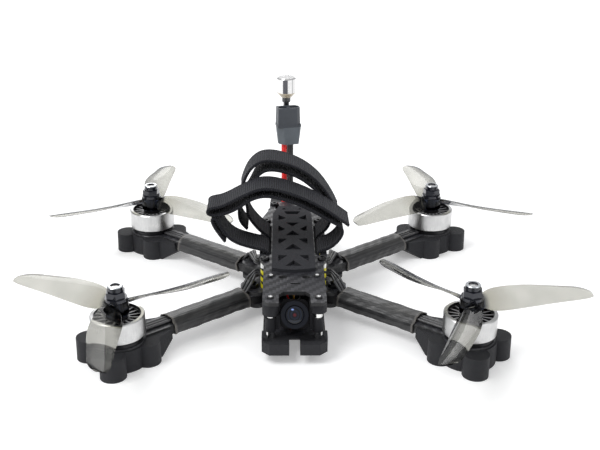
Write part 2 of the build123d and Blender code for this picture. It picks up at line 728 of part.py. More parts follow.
def build_bottom_screw(x, y, top):
    """Countersunk screw, flush with the bottom plate's underside."""
    with BuildPart() as screw:
        with BuildSketch(Plane.XY):
            with Locations((x, y)):
                Circle(CSK_R - 0.05)
        with BuildSketch(Plane.XY.offset(CSK_DEPTH + 0.2)):
            with Locations((x, y)):
                Circle(1.25)
        loft()
        with BuildSketch(Plane.XY.offset(CSK_DEPTH + 0.2)):
            with Locations((x, y)):
                Circle(1.25)
        extrude(amount=top - CSK_DEPTH - 0.2)
        with BuildSketch(Plane.XY):
            with Locations((x, y)):
                RegularPolygon(1.0, 6)
        extrude(amount=0.9, mode=Mode.SUBTRACT)
    return screw.part


def build_arm_bolt(x, y):
    """Countersunk bolt through both clamp plates and the arm, with its lock nut on top."""
    with BuildPart() as bolt:
        with BuildSketch(Plane.XY):
            with Locations((x, y)):
                Circle(CSK_R - 0.05)
        with BuildSketch(Plane.XY.offset(CSK_DEPTH - 0.05)):
            with Locations((x, y)):
                Circle(M3_SHANK)
        loft()
        with BuildSketch(Plane.XY.offset(CSK_DEPTH - 0.05)):
            with Locations((x, y)):
                Circle(M3_SHANK)
        extrude(amount=DECK_Z + 2.6 - CSK_DEPTH + 0.05)
        with BuildSketch(Plane.XY.offset(DECK_Z)):
            with Locations((x, y)):
                RegularPolygon(2.7, 6, major_radius=False)
        extrude(amount=2.2)
        with BuildSketch(Plane.XY):
            with Locations((x, y)):
                RegularPolygon(1.0, 6)
        extrude(amount=0.9, mode=Mode.SUBTRACT)
    return bolt.part


save_group([build_top_screw(x, y, 1.9, 0.9) for x, y in mirrored_pairs(FRONT_POST, SECOND_POST)],
           "front_top_screws")
save_group([build_top_screw(x, y, 2.6, 1.6)
            for x, y in mirrored_pairs(BAND_POST_FRONT, BAND_POST_REAR, REAR_POST)]
           + [build_bottom_screw(x, y, BOTTOM_T + 5.0) for x, y in LONG_POSTS]
           + [build_arm_bolt(x, y) for x, y in ARM_BOLT_POINTS], "frame_screws")


# ---------------------------------------------------------------- camera
CHEEK_IN = 7.9
CHEEK_T = 1.8
RING_R = 4.35
RING_LOW = {1: 19.0, -1: 17.4}
RING_TOP = 23.9
SLEEVE_RING_R = 2.95
SLEEVE_RING_LOW = 7.6
SLEEVE_RING_HIGH = 15.4
CAM_W = 15.0
CAM_H = 15.0
CAM_D = 10.0
LENS_R = 7.15
LENS_REACH = 14.0
SIDE_SCREW_R = 1.0


def build_camera_mount(side):
    """Printed cheek beside the camera, with rings round the front and the second standoff."""
    post_x, front_y = FRONT_POST
    second_y = SECOND_POST[1]
    cheek_mid = side * (CHEEK_IN + CHEEK_T / 2)
    ring_low = RING_LOW[side]
    with BuildPart() as mount:
        with BuildSketch(Plane(origin=(side * CHEEK_IN, 0, 0), x_dir=(0, 1, 0), z_dir=(1, 0, 0))):
            with BuildLine():
                Polyline((front_y - 0.6, 8.4), (front_y - 0.6, RING_TOP - 0.5), (second_y, RING_TOP - 0.5),
                         (second_y, ring_low + 1.0), (second_y - 8.0, 8.4), (front_y - 0.6, 8.4))
            make_face()
        extrude(amount=side * CHEEK_T)
        with BuildSketch(Plane.XY.offset(ring_low)):
            with Locations((side * post_x, front_y), (side * post_x, second_y)):
                Circle(RING_R)
        extrude(amount=RING_TOP - ring_low)
        with BuildSketch(Plane.XY.offset(SLEEVE_RING_LOW)):
            with Locations((side * post_x, front_y)):
                Circle(SLEEVE_RING_R)
        extrude(amount=SLEEVE_RING_HIGH - SLEEVE_RING_LOW)
        with BuildSketch(Plane.XY.offset(BOTTOM_T)):
            with Locations((side * post_x, front_y), (side * post_x, second_y)):
                Circle(POST_R_ALU + 0.03)
        extrude(amount=TOP_Z, mode=Mode.SUBTRACT)
        with BuildSketch(Plane(origin=(cheek_mid - 5.0, CAMERA_Y, CAMERA_Z), x_dir=(0, 1, 0), z_dir=(1, 0, 0))):
            Circle(SIDE_SCREW_R + 0.06)
        extrude(amount=10.0, mode=Mode.SUBTRACT)
    return mount.part


save_group([build_camera_mount(side) for side in (1, -1)], "camera_mounts")

TILT = radians(CAMERA_TILT)
LENS_DIR = Vector(0, -cos(TILT), sin(TILT))
CAMERA_AT = Vector(0, CAMERA_Y, CAMERA_Z)


def lens_plane(reach):
    """Plane square to the lens axis, its normal pointing out of the lens."""
    return Plane(origin=CAMERA_AT + LENS_DIR * reach, x_dir=(-1, 0, 0), z_dir=LENS_DIR)


with BuildPart() as camera_body:
    with BuildSketch(lens_plane(-CAM_D / 2)):
        RectangleRounded(CAM_W, CAM_H, 3.4)
    extrude(amount=CAM_D)
    with BuildSketch(lens_plane(CAM_D / 2)):
        Circle(6.2)
    extrude(amount=2.2)
    with BuildSketch(lens_plane(-CAM_D / 2)):
        RectangleRounded(CAM_W - 3.0, CAM_H - 3.0, 1.0)
    extrude(amount=-1.2)
    with BuildSketch(Plane(origin=(-CAM_W / 2 - 1, CAMERA_Y, CAMERA_Z), x_dir=(0, 1, 0), z_dir=(1, 0, 0))):
        Circle(SIDE_SCREW_R)
    extrude(amount=4.0, mode=Mode.SUBTRACT)
    with BuildSketch(Plane(origin=(CAM_W / 2 - 3, CAMERA_Y, CAMERA_Z), x_dir=(0, 1, 0), z_dir=(1, 0, 0))):
        Circle(SIDE_SCREW_R)
    extrude(amount=4.0, mode=Mode.SUBTRACT)
save(camera_body.part, "camera_body")

with BuildPart() as camera_lens:
    with BuildSketch(lens_plane(CAM_D / 2 + 2.2)):
        Circle(LENS_R - 0.7)
    extrude(amount=2.6)
    with BuildSketch(lens_plane(CAM_D / 2 + 4.0)):
        Circle(LENS_R)
    extrude(amount=LENS_REACH - CAM_D / 2 - 4.0)
    with BuildSketch(lens_plane(LENS_REACH - 1.0)):
        Circle(LENS_R - 2.0)
    extrude(amount=2.0, mode=Mode.SUBTRACT)
    with BuildSketch(lens_plane(LENS_REACH - 1.4)):
        Circle(LENS_R - 2.0)
    extrude(amount=0.6)
save(camera_lens.part, "camera_lens")


def build_side_screw(side):
    low = CAM_W / 2 - 3.0
    high = CHEEK_IN + CHEEK_T + 0.3
    with BuildPart() as screw:
        with BuildSketch(Plane(origin=(side * low, CAMERA_Y, CAMERA_Z), x_dir=(0, 1, 0), z_dir=(side, 0, 0))):
            Circle(SIDE_SCREW_R)
        extrude(amount=high - low)
        with BuildSketch(Plane(origin=(side * high, CAMERA_Y, CAMERA_Z), x_dir=(0, 1, 0), z_dir=(side, 0, 0))):
            Circle(1.9)
        extrude(amount=1.2)
        with BuildSketch(Plane(origin=(side * (high + 0.5), CAMERA_Y, CAMERA_Z), x_dir=(0, 1, 0),
                               z_dir=(side, 0, 0))):
            RegularPolygon(0.9, 6)
        extrude(amount=1.0, mode=Mode.SUBTRACT)
    return screw.part


save_group([build_side_screw(side) for side in (1, -1)], "camera_screws")

BUMPER_FRONT = -77.2
BUMPER_HALF = 17.0
BUMPER_TOP = 6.4
EAR_TOP = 8.4                  # raised ends beside the posts
NOTCH_W = 5.6
with BuildPart() as bumper:
    with BuildSketch(Plane.XY):
        with BuildLine():
            Polyline((0, BUMPER_FRONT), (BUMPER_HALF - 4.0, BUMPER_FRONT), (BUMPER_HALF, BUMPER_FRONT + 4.0),
                     (BUMPER_HALF, NOSE_Y + 8.0), (0, NOSE_Y + 8.0))
            mirror(about=Plane.YZ)
        make_face()
    extrude(amount=BUMPER_TOP)
    with BuildSketch(Plane.XY.offset(BOTTOM_T + 1.0)):
        with Locations((0, NOSE_Y + 3.0)):
            RectangleRounded(2 * BUMPER_HALF - 2.8, 13.6, 3.0)
        with Locations((0, BUMPER_FRONT + 4.6)):
            Rectangle(2 * BUMPER_HALF + 2.0, 20.0, align=(Align.CENTER, Align.MIN))
    extrude(amount=10.0, mode=Mode.SUBTRACT)
    with BuildSketch(Plane.XY.offset(BOTTOM_T + 0.5)):
        with Locations(*[(side * (BUMPER_HALF - 0.7), BUMPER_FRONT + 7.6) for side in (1, -1)]):
            Rectangle(1.4, 7.2)
    extrude(amount=EAR_TOP - BOTTOM_T - 0.5)
    with BuildSketch(Plane.XY.offset(-1.0)):
        with Locations((0, NOSE_Y + 4.8)):
            RectangleRounded(SPINE_W + 0.2, 9.8, 3.9)
            Rectangle(2 * BUMPER_HALF + 2, 6.6, align=(Align.CENTER, Align.MIN))
    extrude(amount=BOTTOM_T + 1.05, mode=Mode.SUBTRACT)
    with BuildSketch(Plane.XY.offset(-1.0)):
        with Locations((0, BUMPER_FRONT)):
            Rectangle(NOTCH_W, 24.0)
    extrude(amount=BUMPER_TOP + 2.0, mode=Mode.SUBTRACT)
    with BuildSketch(Plane.XY.offset(BOTTOM_T)):
        with Locations(*mirrored_pairs(FRONT_POST)):
            Circle(POST_R_ALU + 0.05)
    extrude(amount=4.0, mode=Mode.SUBTRACT)
save(bumper.part, "bumper")


# ---------------------------------------------------------------- battery pad and straps
BATTERY_PAD_W = 23.8
BATTERY_PAD_FRONT = -32.6
BATTERY_PAD_REAR = 57.0
BATTERY_PAD_T = 2.0
SIDE_OUT = 8.4                 # outer edge of the side openings
# side openings, front to rear: rear end, inner tip x, inner tip y, front end
SIDE_OPENINGS = [(-16.3, 3.4, -16.8, -24.5), (6.5, 3.2, 6.0, -1.8), (25.5, 4.4, 20.3, 15.7), (42.4, 3.6, 37.2, 34.0)]
# three-cornered openings on the centre line: tip y, base y, half width
CENTRE_OPENINGS = [(-23.2, -30.4, 4.6), (-0.9, -9.0, 5.0), (18.3, 11.1, 4.2), (24.6, 30.1, 4.0)]


def pad_openings():
    """Openings of the lattice, as lists of corners."""
    shapes = [[(side * SIDE_OUT, rear), (side * tip_x, tip_y), (side * SIDE_OUT, front)]
              for rear, tip_x, tip_y, front in SIDE_OPENINGS for side in (1, -1)]
    shapes += [[(0, tip), (half_w, base), (-half_w, base)] for tip, base, half_w in CENTRE_OPENINGS]
    shapes.append([(3.4, 43.6), (5.0, 48.0), (-5.0, 48.0), (-3.4, 43.6)])
    shapes += [[(side * 3.4, 51.2), (side * 6.4, 51.2), (side * 5.0, 53.6)] for side in (1, -1)]
    return shapes


with BuildPart() as battery_pad:
    with BuildSketch(Plane.XY.offset(ROOF_Z)):
        with BuildLine():
            half = BATTERY_PAD_W / 2
            ThreePointArc((-half, BATTERY_PAD_FRONT), (0, BATTERY_PAD_FRONT - 2.6), (half, BATTERY_PAD_FRONT))
            Polyline((half, BATTERY_PAD_FRONT), (half, 44.0), (half - 3.6, BATTERY_PAD_REAR),
                     (3.6 - half, BATTERY_PAD_REAR), (-half, 44.0), (-half, BATTERY_PAD_FRONT))
        make_face()
        for corners in pad_openings():
            with BuildLine():
                Polyline(*corners, close=True)
            make_face(mode=Mode.SUBTRACT)
    extrude(amount=BATTERY_PAD_T)
save(battery_pad.part, "battery_pad")

STRAP_LOW_Z = TOP_Z - STRAP_T / 2 - 0.6
FRONT_STRAP = [
    (-SLOT_X, STRAP_LOW_Z), (SLOT_X, STRAP_LOW_Z), (SLOT_X, 28.2), (21.5, 30.0), (29.0, 38.0), (30.0, 44.5),
    (24.0, 48.8), (13.0, 56.0), (0, 62.4), (-16.0, 66.6), (-27.5, 61.5), (-46.0, 51.9), (-45.4, 45.6),
    (-37.0, 34.8), (-24.0, 29.8), (-SLOT_X, 28.2),
]
REAR_STRAP = [
    (-SLOT_X, STRAP_LOW_Z), (SLOT_X, STRAP_LOW_Z), (SLOT_X, 28.2), (20.4, 33.0), (24.4, 42.0), (23.4, 48.5),
    (14.5, 62.0), (2.0, 71.0), (-15.0, 75.6), (-23.5, 70.0), (-27.8, 58.0), (-26.0, 43.0), (-19.5, 32.0),
    (-SLOT_X, 28.2),
]


def strap_outline(outline, middle_y, grow):
    """Face inside the strap's loop, its edge moved out by grow."""
    radii = []
    count = len(outline)
    for index in range(count):
        before = Vector(*outline[index - 1])
        here = Vector(*outline[index])
        after = Vector(*outline[(index + 1) % count])
        run = min((here - before).length, (after - here).length)
        half_turn = radians((here - before).get_angle(after - here)) / 2
        radii.append(0.45 * run / max(abs(sin(half_turn) / cos(half_turn)), 0.02))
    with BuildSketch(Plane(origin=(0, middle_y + STRAP_W / 2, 0), x_dir=(1, 0, 0), z_dir=(0, -1, 0))) as face:
        with BuildLine() as loop:
            FilletPolyline(*outline, radius=radii, close=True)
        make_face()
        offset(amount=grow)
    print("strap loop: %.1f mm round" % loop.wires()[0].length)
    return face.sketch


def build_strap(outline, middle_y):
    """Closed band of webbing, threaded through both slots and under the top plate."""
    outside = strap_outline(outline, middle_y, STRAP_T / 2)
    inside = strap_outline(outline, middle_y, -STRAP_T / 2)
    with BuildPart() as strap:
        extrude(to_extrude=outside, amount=STRAP_W)
        extrude(to_extrude=inside, amount=STRAP_W, mode=Mode.SUBTRACT)
    return strap.part


save(build_strap(FRONT_STRAP, FRONT_STRAP_Y), "strap_front")
save(build_strap(REAR_STRAP, REAR_STRAP_Y), "strap_rear")


# ---------------------------------------------------------------- battery leads and plug
PLUG_X = -2.2
PLUG_Y = 75.4
PLUG_Z = 64.0
PLUG_W = 14.6
PLUG_D = 8.0
PLUG_TAPER = 1.5
COVER_H = 11.4
PLUG_H = 12.2
LEAD_ROUTE = [
    (LEAD_START_Y, ESC_Z + 1.8), (31.0, ESC_Z + 1.8), (43.0, 12.1), (56.5, 12.0), (68.0, 14.6), (74.6, 22.6),
    (76.0, 34.0), (PLUG_Y, 49.0), (PLUG_Y, PLUG_Z),
]


def build_lead(x):
    """Silicone wire from the speed controller's pad, back between the plates and up to the plug."""
    points = [Vector(x, y, z) for y, z in LEAD_ROUTE]
    radii = []
    for before, here, after in zip(points, points[1:], points[2:]):
        run = min((here - before).length, (after - here).length)
        half_turn = radians((here - before).get_angle(after - here)) / 2
        radii.append(0.45 * run * cos(half_turn) / sin(half_turn))
    with BuildPart() as lead:
        with BuildLine():
            path = FilletPolyline(*points, radius=radii)
        with BuildSketch(Plane(origin=path @ 0, z_dir=path % 0)):
            Circle(LEAD_R)
        sweep()
    print("lead: length %.1f mm, radii %s, volume ratio %.4f" % (
        path.length, [round(r, 1) for r in radii], lead.part.volume / (path.length * pi * LEAD_R ** 2)))
    return lead.part


save(build_lead(LEAD_X[0]), "power_lead_red")
save(build_lead(LEAD_X[1]), "power_lead_black")

PLUG_TURN = 12.0               # the plug stands slightly turned about the vertical


def plug_plane(z):
    turn = radians(PLUG_TURN)
    return Plane(origin=(PLUG_X, PLUG_Y, z), x_dir=(cos(turn), sin(turn), 0), z_dir=(0, 0, 1))


COVER_CUT = 3.4                # slanted corner at the cover's front left
COVER_RIM = 1.2


def cover_outline(wide, deep):
    """Rectangle with one slanted corner, placed in the open sketch."""
    half_w, half_d = wide / 2, deep / 2
    Polygon((COVER_CUT - half_w, -half_d), (half_w - 0.8, -half_d), (half_w, 0.8 - half_d),
            (half_w, half_d - 0.8), (half_w - 0.8, half_d), (0.8 - half_w, half_d), (-half_w, half_d - 0.8),
            (-half_w, COVER_CUT - half_d), align=None)


with BuildPart() as plug_cover:
    with BuildSketch(plug_plane(PLUG_Z)):
        cover_outline(PLUG_W - 2.2, PLUG_D - 1.2)
    with BuildSketch(plug_plane(PLUG_Z + COVER_H - COVER_RIM)):
        cover_outline(PLUG_W, PLUG_D)
    loft()
    with BuildSketch(plug_plane(PLUG_Z + COVER_H - COVER_RIM)):
        cover_outline(PLUG_W, PLUG_D)
    extrude(amount=COVER_RIM)
save(plug_cover.part, "plug_cover")

with BuildPart() as power_plug:
    with BuildSketch(plug_plane(PLUG_Z + COVER_H)):
        RectangleRounded(PLUG_W + 0.6, PLUG_D + 0.4, 1.0)
    extrude(amount=1.4)
    with BuildSketch(plug_plane(PLUG_Z + COVER_H + 1.4)):
        with BuildLine():
            wide = PLUG_W / 2
            deep = PLUG_D / 2
            Polyline((-wide, -deep), (wide - 2.4, -deep), (wide, -deep + 2.4), (wide, deep - 2.4),
                     (wide - 2.4, deep), (-wide, deep), (-wide, -deep))
        make_face()
    extrude(amount=PLUG_H - 1.4, taper=PLUG_TAPER)
    with BuildSketch(plug_plane(PLUG_Z + COVER_H + PLUG_H - 8.0)):
        with Locations((-3.6, 0), (3.6, 0)):
            Circle(2.7)
    extrude(amount=9.0, mode=Mode.SUBTRACT)
    with BuildSketch(plug_plane(PLUG_Z + COVER_H + PLUG_H - 8.0)):
        with Locations((-3.6, 0), (3.6, 0)):
            Circle(1.75)
    extrude(amount=7.0)
save(power_plug.part, "power_plug")


# ---------------------------------------------------------------- antenna
STEM_R = 1.85
STEM_LOW = 14.0
HEAD_R = 5.95
HEAD_LOW = 92.4
HEAD_TOP = 104.9
MOUNT_LOW = 12.0
MOUNT_TOP = 23.0
with BuildPart() as antenna_mount:
    with BuildSketch(Plane.XY.offset(MOUNT_LOW)):
        with Locations((0, 82.0)):
            RectangleRounded(27.0, 7.4, 3.0)
        with Locations((11.4, 73.5), (-11.4, 73.5)):
            Rectangle(4.6, 17.0)
        with Locations(*mirrored_pairs(REAR_POST)):
            Circle(4.1)
    extrude(amount=MOUNT_TOP - MOUNT_LOW)
    with BuildSketch(Plane.XY.offset(MOUNT_LOW)):
        with Locations((ANTENNA_X, ANTENNA_Y)):
            Circle(3.6)
    extrude(amount=MOUNT_TOP + 6.0 - MOUNT_LOW)
    with BuildSketch(Plane.XY.offset(MOUNT_LOW - 1.0)):
        with Locations(*mirrored_pairs(REAR_POST)):
            Circle(POST_R_ALU + 0.03)
    extrude(amount=MOUNT_TOP + 2.0, mode=Mode.SUBTRACT)
    with BuildSketch(Plane.XY.offset(STEM_LOW)):
        with Locations((ANTENNA_X, ANTENNA_Y)):
            Circle(STEM_R)
    extrude(amount=40.0, mode=Mode.SUBTRACT)
save(antenna_mount.part, "antenna_mount")

with BuildPart() as antenna_stem:
    with BuildSketch(Plane.XY.offset(STEM_LOW)):
        with Locations((ANTENNA_X, ANTENNA_Y)):
            Circle(STEM_R)
    extrude(amount=HEAD_LOW - STEM_LOW)
    with BuildSketch(Plane.XY.offset(HEAD_LOW - 3.0)):
        with Locations((ANTENNA_X, ANTENNA_Y)):
            Circle(2.7)
    extrude(amount=3.0)
save(antenna_stem.part, "antenna_stem")

with BuildPart() as antenna_head:
    with BuildSketch(Plane.XZ.offset(-ANTENNA_Y)):
        with BuildLine():
            Polyline((ANTENNA_X, HEAD_LOW), (ANTENNA_X + 3.4, HEAD_LOW), (ANTENNA_X + HEAD_R - 0.3, HEAD_LOW + 2.6),
                     (ANTENNA_X + HEAD_R, HEAD_LOW + 2.8), (ANTENNA_X + HEAD_R, HEAD_TOP - 0.7),
                     (ANTENNA_X + HEAD_R - 0.7, HEAD_TOP), (ANTENNA_X, HEAD_TOP), (ANTENNA_X, HEAD_LOW))
        make_face()
    revolve(axis=Axis((ANTENNA_X, ANTENNA_Y, 0), (0, 0, 1)))
save(antenna_head.part, "antenna_head")


# ---------------------------------------------------------------- repeated corners
motor_bases = []
bearings = []
stators = []
motor_screws = []
motor_wires = []
for name, side_x, side_y, spin, azimuth in CORNERS:
    save(build_arm(side_x, side_y), "arm_" + name)
    save(build_foot(side_x, side_y), "foot_" + name)
    save(build_sleeve(side_x, side_y), "arm_sleeve_" + name)
    save(build_bell(side_x, side_y), "motor_bell_" + name)
    save(build_propeller(side_x, side_y, spin, azimuth), "propeller_" + name)
    save(build_prop_nut(side_x, side_y), "prop_nut_" + name)
    motor_bases.append(build_motor_base(side_x, side_y))
    bearings.append(build_bearing(side_x, side_y, BASE_Z))
    bearings.append(build_bearing(side_x, side_y, TUBE_TOP - BEARING_H))
    stators.append(build_stator(side_x, side_y))
    plane = motor_plane(side_x, side_y)
    for quarter in range(4):
        turn = radians(45.0 + 90.0 * quarter)
        spot = plane.from_local_coords(Vector(MOTOR_BOLT_R * cos(turn), MOTOR_BOLT_R * sin(turn), 0))
        motor_screws.append(build_motor_screw(spot.X, spot.Y))
    for lane in (-1, 0, 1):
        motor_wires.append(build_motor_wire(side_x, side_y, lane))

save_group(motor_bases, "motor_bases")
save_group(bearings, "motor_bearings")
save_group(stators, "stators")
save_group(motor_screws, "motor_screws")
save_group(motor_wires, "motor_wires")
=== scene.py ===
"""Looks of a five-inch camera drone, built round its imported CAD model.

Metres, nose towards -Y, +Z up, origin at the centre of the bottom plate's underside.
"""
import json
from math import atan2, cos, pi, radians, sin

import bpy
from mathutils import Matrix, Vector

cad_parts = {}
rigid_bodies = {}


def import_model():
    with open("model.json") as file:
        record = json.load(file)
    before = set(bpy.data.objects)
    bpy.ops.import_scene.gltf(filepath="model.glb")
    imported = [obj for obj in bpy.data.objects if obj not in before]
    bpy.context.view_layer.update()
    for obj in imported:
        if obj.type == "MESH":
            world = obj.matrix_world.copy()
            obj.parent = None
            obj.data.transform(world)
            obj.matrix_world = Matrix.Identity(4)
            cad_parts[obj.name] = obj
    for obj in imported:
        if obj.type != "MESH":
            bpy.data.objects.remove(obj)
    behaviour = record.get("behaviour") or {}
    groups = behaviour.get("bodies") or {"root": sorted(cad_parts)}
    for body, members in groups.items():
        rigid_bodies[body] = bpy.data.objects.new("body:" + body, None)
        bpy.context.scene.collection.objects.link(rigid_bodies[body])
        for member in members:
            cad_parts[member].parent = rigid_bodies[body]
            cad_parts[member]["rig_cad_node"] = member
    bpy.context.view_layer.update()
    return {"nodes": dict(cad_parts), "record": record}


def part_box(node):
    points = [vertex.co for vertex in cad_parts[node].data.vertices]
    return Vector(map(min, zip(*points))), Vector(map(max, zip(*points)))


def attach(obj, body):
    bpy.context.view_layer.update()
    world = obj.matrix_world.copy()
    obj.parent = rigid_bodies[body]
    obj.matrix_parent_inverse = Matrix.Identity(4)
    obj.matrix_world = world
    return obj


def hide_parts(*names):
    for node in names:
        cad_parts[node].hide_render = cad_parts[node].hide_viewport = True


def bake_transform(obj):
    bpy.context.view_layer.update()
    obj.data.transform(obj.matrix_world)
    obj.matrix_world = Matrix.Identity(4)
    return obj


MM = 0.001
DIAGONAL = 1.414

for leftover in list(bpy.data.objects):
    bpy.data.objects.remove(leftover)
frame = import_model()
nodes = frame["nodes"]


# ---------------------------------------------------------------- places worked out from the frame
def middle(node):
    low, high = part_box(node)
    return (low + high) / 2


CORNERS = ("front_left", "front_right", "rear_left", "rear_right")
MOTOR = {corner: middle("prop_nut_" + corner) for corner in CORNERS}
FLOOR_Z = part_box("foot_front_left")[0].z
ROOF_LOW_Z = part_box("top_plate")[0].z
FRAME_BODY = "frame"
CAMERA_BODY = "camera"


# ---------------------------------------------------------------- camera and light
CAMERA_AT = Vector((-6.9, -496.4, 251.5)) * MM
CAMERA_PITCH = radians(23.1)
CAMERA_YAW = radians(1.25)
CAMERA_ROLL = radians(0.37)
SENSOR = 36.0
LENS = 56.8

FLOOR_HALF = 40.0                 # so that low views see no far edge
GLOW_NEAR = 0.26                  # floor's own light under the drone
GLOW_FAR = 0.55                   # and away from it, where no shadow falls
GLOW_START = 0.3
GLOW_END = 1.4
WORLD_STRENGTH = 0.58
LAMPS = (                         # name, place, target, size in metres, power in watts
    ("key", (-0.7, -0.35, 1.2), (0, 0, 0), 0.8, 10.0),
    ("fill", (0.9, -0.6, 0.8), (0, 0, 0.03), 0.8, 2.0),
    ("back", (-0.2, 1.2, 0.9), (0, 0, 0.03), 1.0, 6.0),
)


def make_camera():
    forward = Vector((sin(CAMERA_YAW) * cos(CAMERA_PITCH), cos(CAMERA_YAW) * cos(CAMERA_PITCH),
                      -sin(CAMERA_PITCH)))
    level = Vector((cos(CAMERA_YAW), -sin(CAMERA_YAW), 0))
    upright = level.cross(forward)
    right = level * cos(CAMERA_ROLL) + upright * sin(CAMERA_ROLL)
    up = upright * cos(CAMERA_ROLL) - level * sin(CAMERA_ROLL)
    data = bpy.data.cameras.new("camera")
    data.lens = LENS
    data.sensor_width = SENSOR
    camera = bpy.data.objects.new("camera", data)
    camera.matrix_world = Matrix.Translation(CAMERA_AT) @ Matrix((right, up, -forward)).transposed().to_4x4()
    bpy.context.scene.collection.objects.link(camera)
    bpy.context.scene.camera = camera


def make_light(name, place, target, size, power):
    data = bpy.data.lights.new(name, "AREA")
    data.shape = "DISK"
    data.size = size
    data.energy = power
    light = bpy.data.objects.new(name, data)
    light.location = place
    light.rotation_mode = "QUATERNION"
    light.rotation_quaternion = (Vector(target) - Vector(place)).to_track_quat("-Z", "Y")
    bpy.context.scene.collection.objects.link(light)


def make_stage():
    mesh = bpy.data.meshes.new("floor")
    signs = ((-1, -1), (1, -1), (1, 1), (-1, 1))
    mesh.from_pydata([(x * FLOOR_HALF, y * FLOOR_HALF, FLOOR_Z) for x, y in signs], [], [(0, 1, 2, 3)])
    floor = bpy.data.objects.new("floor", mesh)
    bpy.context.scene.collection.objects.link(floor)
    table = Finish("studio_floor", {"Base Color": (0.93, 0.93, 0.93, 1), "Roughness": 0.75,
                                    "Specular IOR Level": 0.2, "Emission Color": (1, 1, 1, 1)})
    # painted light: the floor glows, weakly under the drone where its shadow falls and more strongly away
    # from it
    away = table.add("VectorMath", {0: table.place()}, output="Value", operation="LENGTH")
    glow = table.between(table.span(away, GLOW_START, GLOW_END), GLOW_NEAR, GLOW_FAR)
    table.feed(table.shader.inputs["Emission Strength"], glow)
    floor.data.materials.append(table.material)
    world = bpy.data.worlds.new("studio")
    world.use_nodes = True
    background = world.node_tree.nodes["Background"]
    background.inputs["Color"].default_value = (0.97, 0.98, 1.0, 1.0)
    background.inputs["Strength"].default_value = WORLD_STRENGTH
    bpy.context.scene.world = world
    bpy.context.scene.view_settings.view_transform = "Standard"
    for lamp in LAMPS:
        make_light(*lamp)


# ---------------------------------------------------------------- sizes that the finishes follow
SCREW_HEAD_R = 1.9 * MM
SOCKET_R = 1.0 * MM
STRAP_FLAT_HALF = 8.1 * MM        # the webbing is flat up to here, then corded
HUB_R = 6.3 * MM                  # propeller hub
HUB_FADE_R = 9.5 * MM             # the hub's dark tint ends here
ROOT_R = 9.0 * MM                 # the blades are deeper in colour from here
ROOT_FADE_R = 26.0 * MM           # to here
BELL_RIM_H = 11.0 * MM            # upper rim of a bell, above its lower edge
RECESS_R = 12.1 * MM              # inside the bell's wall
RECESS_DEPTH = 4.0 * MM
POST_R = 2.7 * MM
SPOKE_R = 6.0 * MM                # inner ends of the bell's spokes
NUT_END = 0.9 * MM                # bright top of the prop nuts
SLEEVE_RIM = 22.9 * MM            # a sleeve's paler rim starts here, from its middle
SLEEVE_RIM_FULL = 24.4 * MM
CAP_LOW = 3.2 * MM                # antenna cap, above the head's lower edge
BAND_PITCH = 4.3 * MM
BARE_TIP = 2.6 * MM               # bare metal at the top of the banded posts
TOW = 1.9 * MM                    # width of one carbon tow
PLY = 0.32 * MM                   # thickness of one carbon layer
RIB_PITCH = 1.25 * MM             # webbing, along and across
CELL_PITCH = 0.95 * MM
WINDING_PITCH = 0.5 * MM


# ---------------------------------------------------------------- node trees
class Finish:
    """One procedural material, with short calls for its node tree."""

    def __init__(self, name, settings):
        self.material = bpy.data.materials.new(name)
        self.material.use_nodes = True
        self.tree = self.material.node_tree
        self.shader = self.tree.nodes["Principled BSDF"]
        for socket, value in settings.items():
            self.feed(self.shader.inputs[socket], value)

    def set(self, **sockets):
        for socket, value in sockets.items():
            self.feed(self.shader.inputs[socket.replace("_", " ")], value)
        return self

    def feed(self, socket, value):
        if isinstance(value, bpy.types.NodeSocket):
            self.tree.links.new(value, socket)
        else:
            socket.default_value = value

    def add(self, kind, inputs, output=0, **properties):
        made = self.tree.nodes.new("ShaderNode" + kind)
        for key, value in properties.items():
            setattr(made, key, value)
        for key, value in inputs.items():
            self.feed(made.inputs[key], value)
        return made.outputs[output]

    def math(self, operation, *values):
        return self.add("Math", dict(enumerate(values)), operation=operation)

    def place(self):
        """Point on the object, in metres, in the drone's own frame."""
        return self.add("TexCoord", {}, output="Object")

    def axis(self, name, point=None):
        return self.add("SeparateXYZ", {0: point or self.place()}, output=name)

    def facing_up(self):
        """1 on level faces, 0 on upright ones."""
        normal = self.add("NewGeometry", {}, output="Normal")
        return self.math("GREATER_THAN", self.math("ABSOLUTE", self.axis("Z", normal)), 0.6)

    def distance(self, across, along):
        """Length of the hypotenuse over these two legs."""
        squares = [self.math("POWER", leg, 2.0) for leg in (across, along)]
        return self.math("SQRT", self.math("ADD", *squares))

    def motor_radius(self):
        """Distance from the nearest motor's axis."""
        motor = MOTOR["front_left"]
        across = self.math("SUBTRACT", self.math("ABSOLUTE", self.axis("X")), abs(motor.x))
        ahead = self.math("SUBTRACT", self.math("ABSOLUTE", self.axis("Y")), abs(motor.y))
        return self.distance(across, ahead)

    def noise(self, per_metre, detail=3.0, stretch=(1, 1, 1), roughness=0.55):
        point = self.add("VectorMath", {0: self.place(), 1: stretch}, operation="MULTIPLY")
        return self.add("TexNoise", {"Vector": point, "Scale": per_metre, "Detail": detail,
                                     "Roughness": roughness}, output="Fac")

    def mix(self, factor, first, second):
        return self.add("Mix", {0: factor, 6: first, 7: second}, output=2, data_type="RGBA")

    def between(self, factor, low, high):
        """Number from low to high as factor goes from 0 to 1."""
        return self.add("MapRange", {"Value": factor, "To Min": low, "To Max": high})

    def span(self, value, start, end):
        """0 before start, 1 after end."""
        return self.add("MapRange", {"Value": value, "From Min": start, "From Max": end})

    def wave(self, value, pitch):
        """Sine wave, one period for each pitch."""
        return self.math("SINE", self.math("MULTIPLY", value, 2 * pi / pitch))

    def bump(self, height, distance, strength=1.0):
        normal = self.add("Bump", {"Height": height, "Distance": distance, "Strength": strength})
        self.feed(self.shader.inputs["Normal"], normal)
        return self


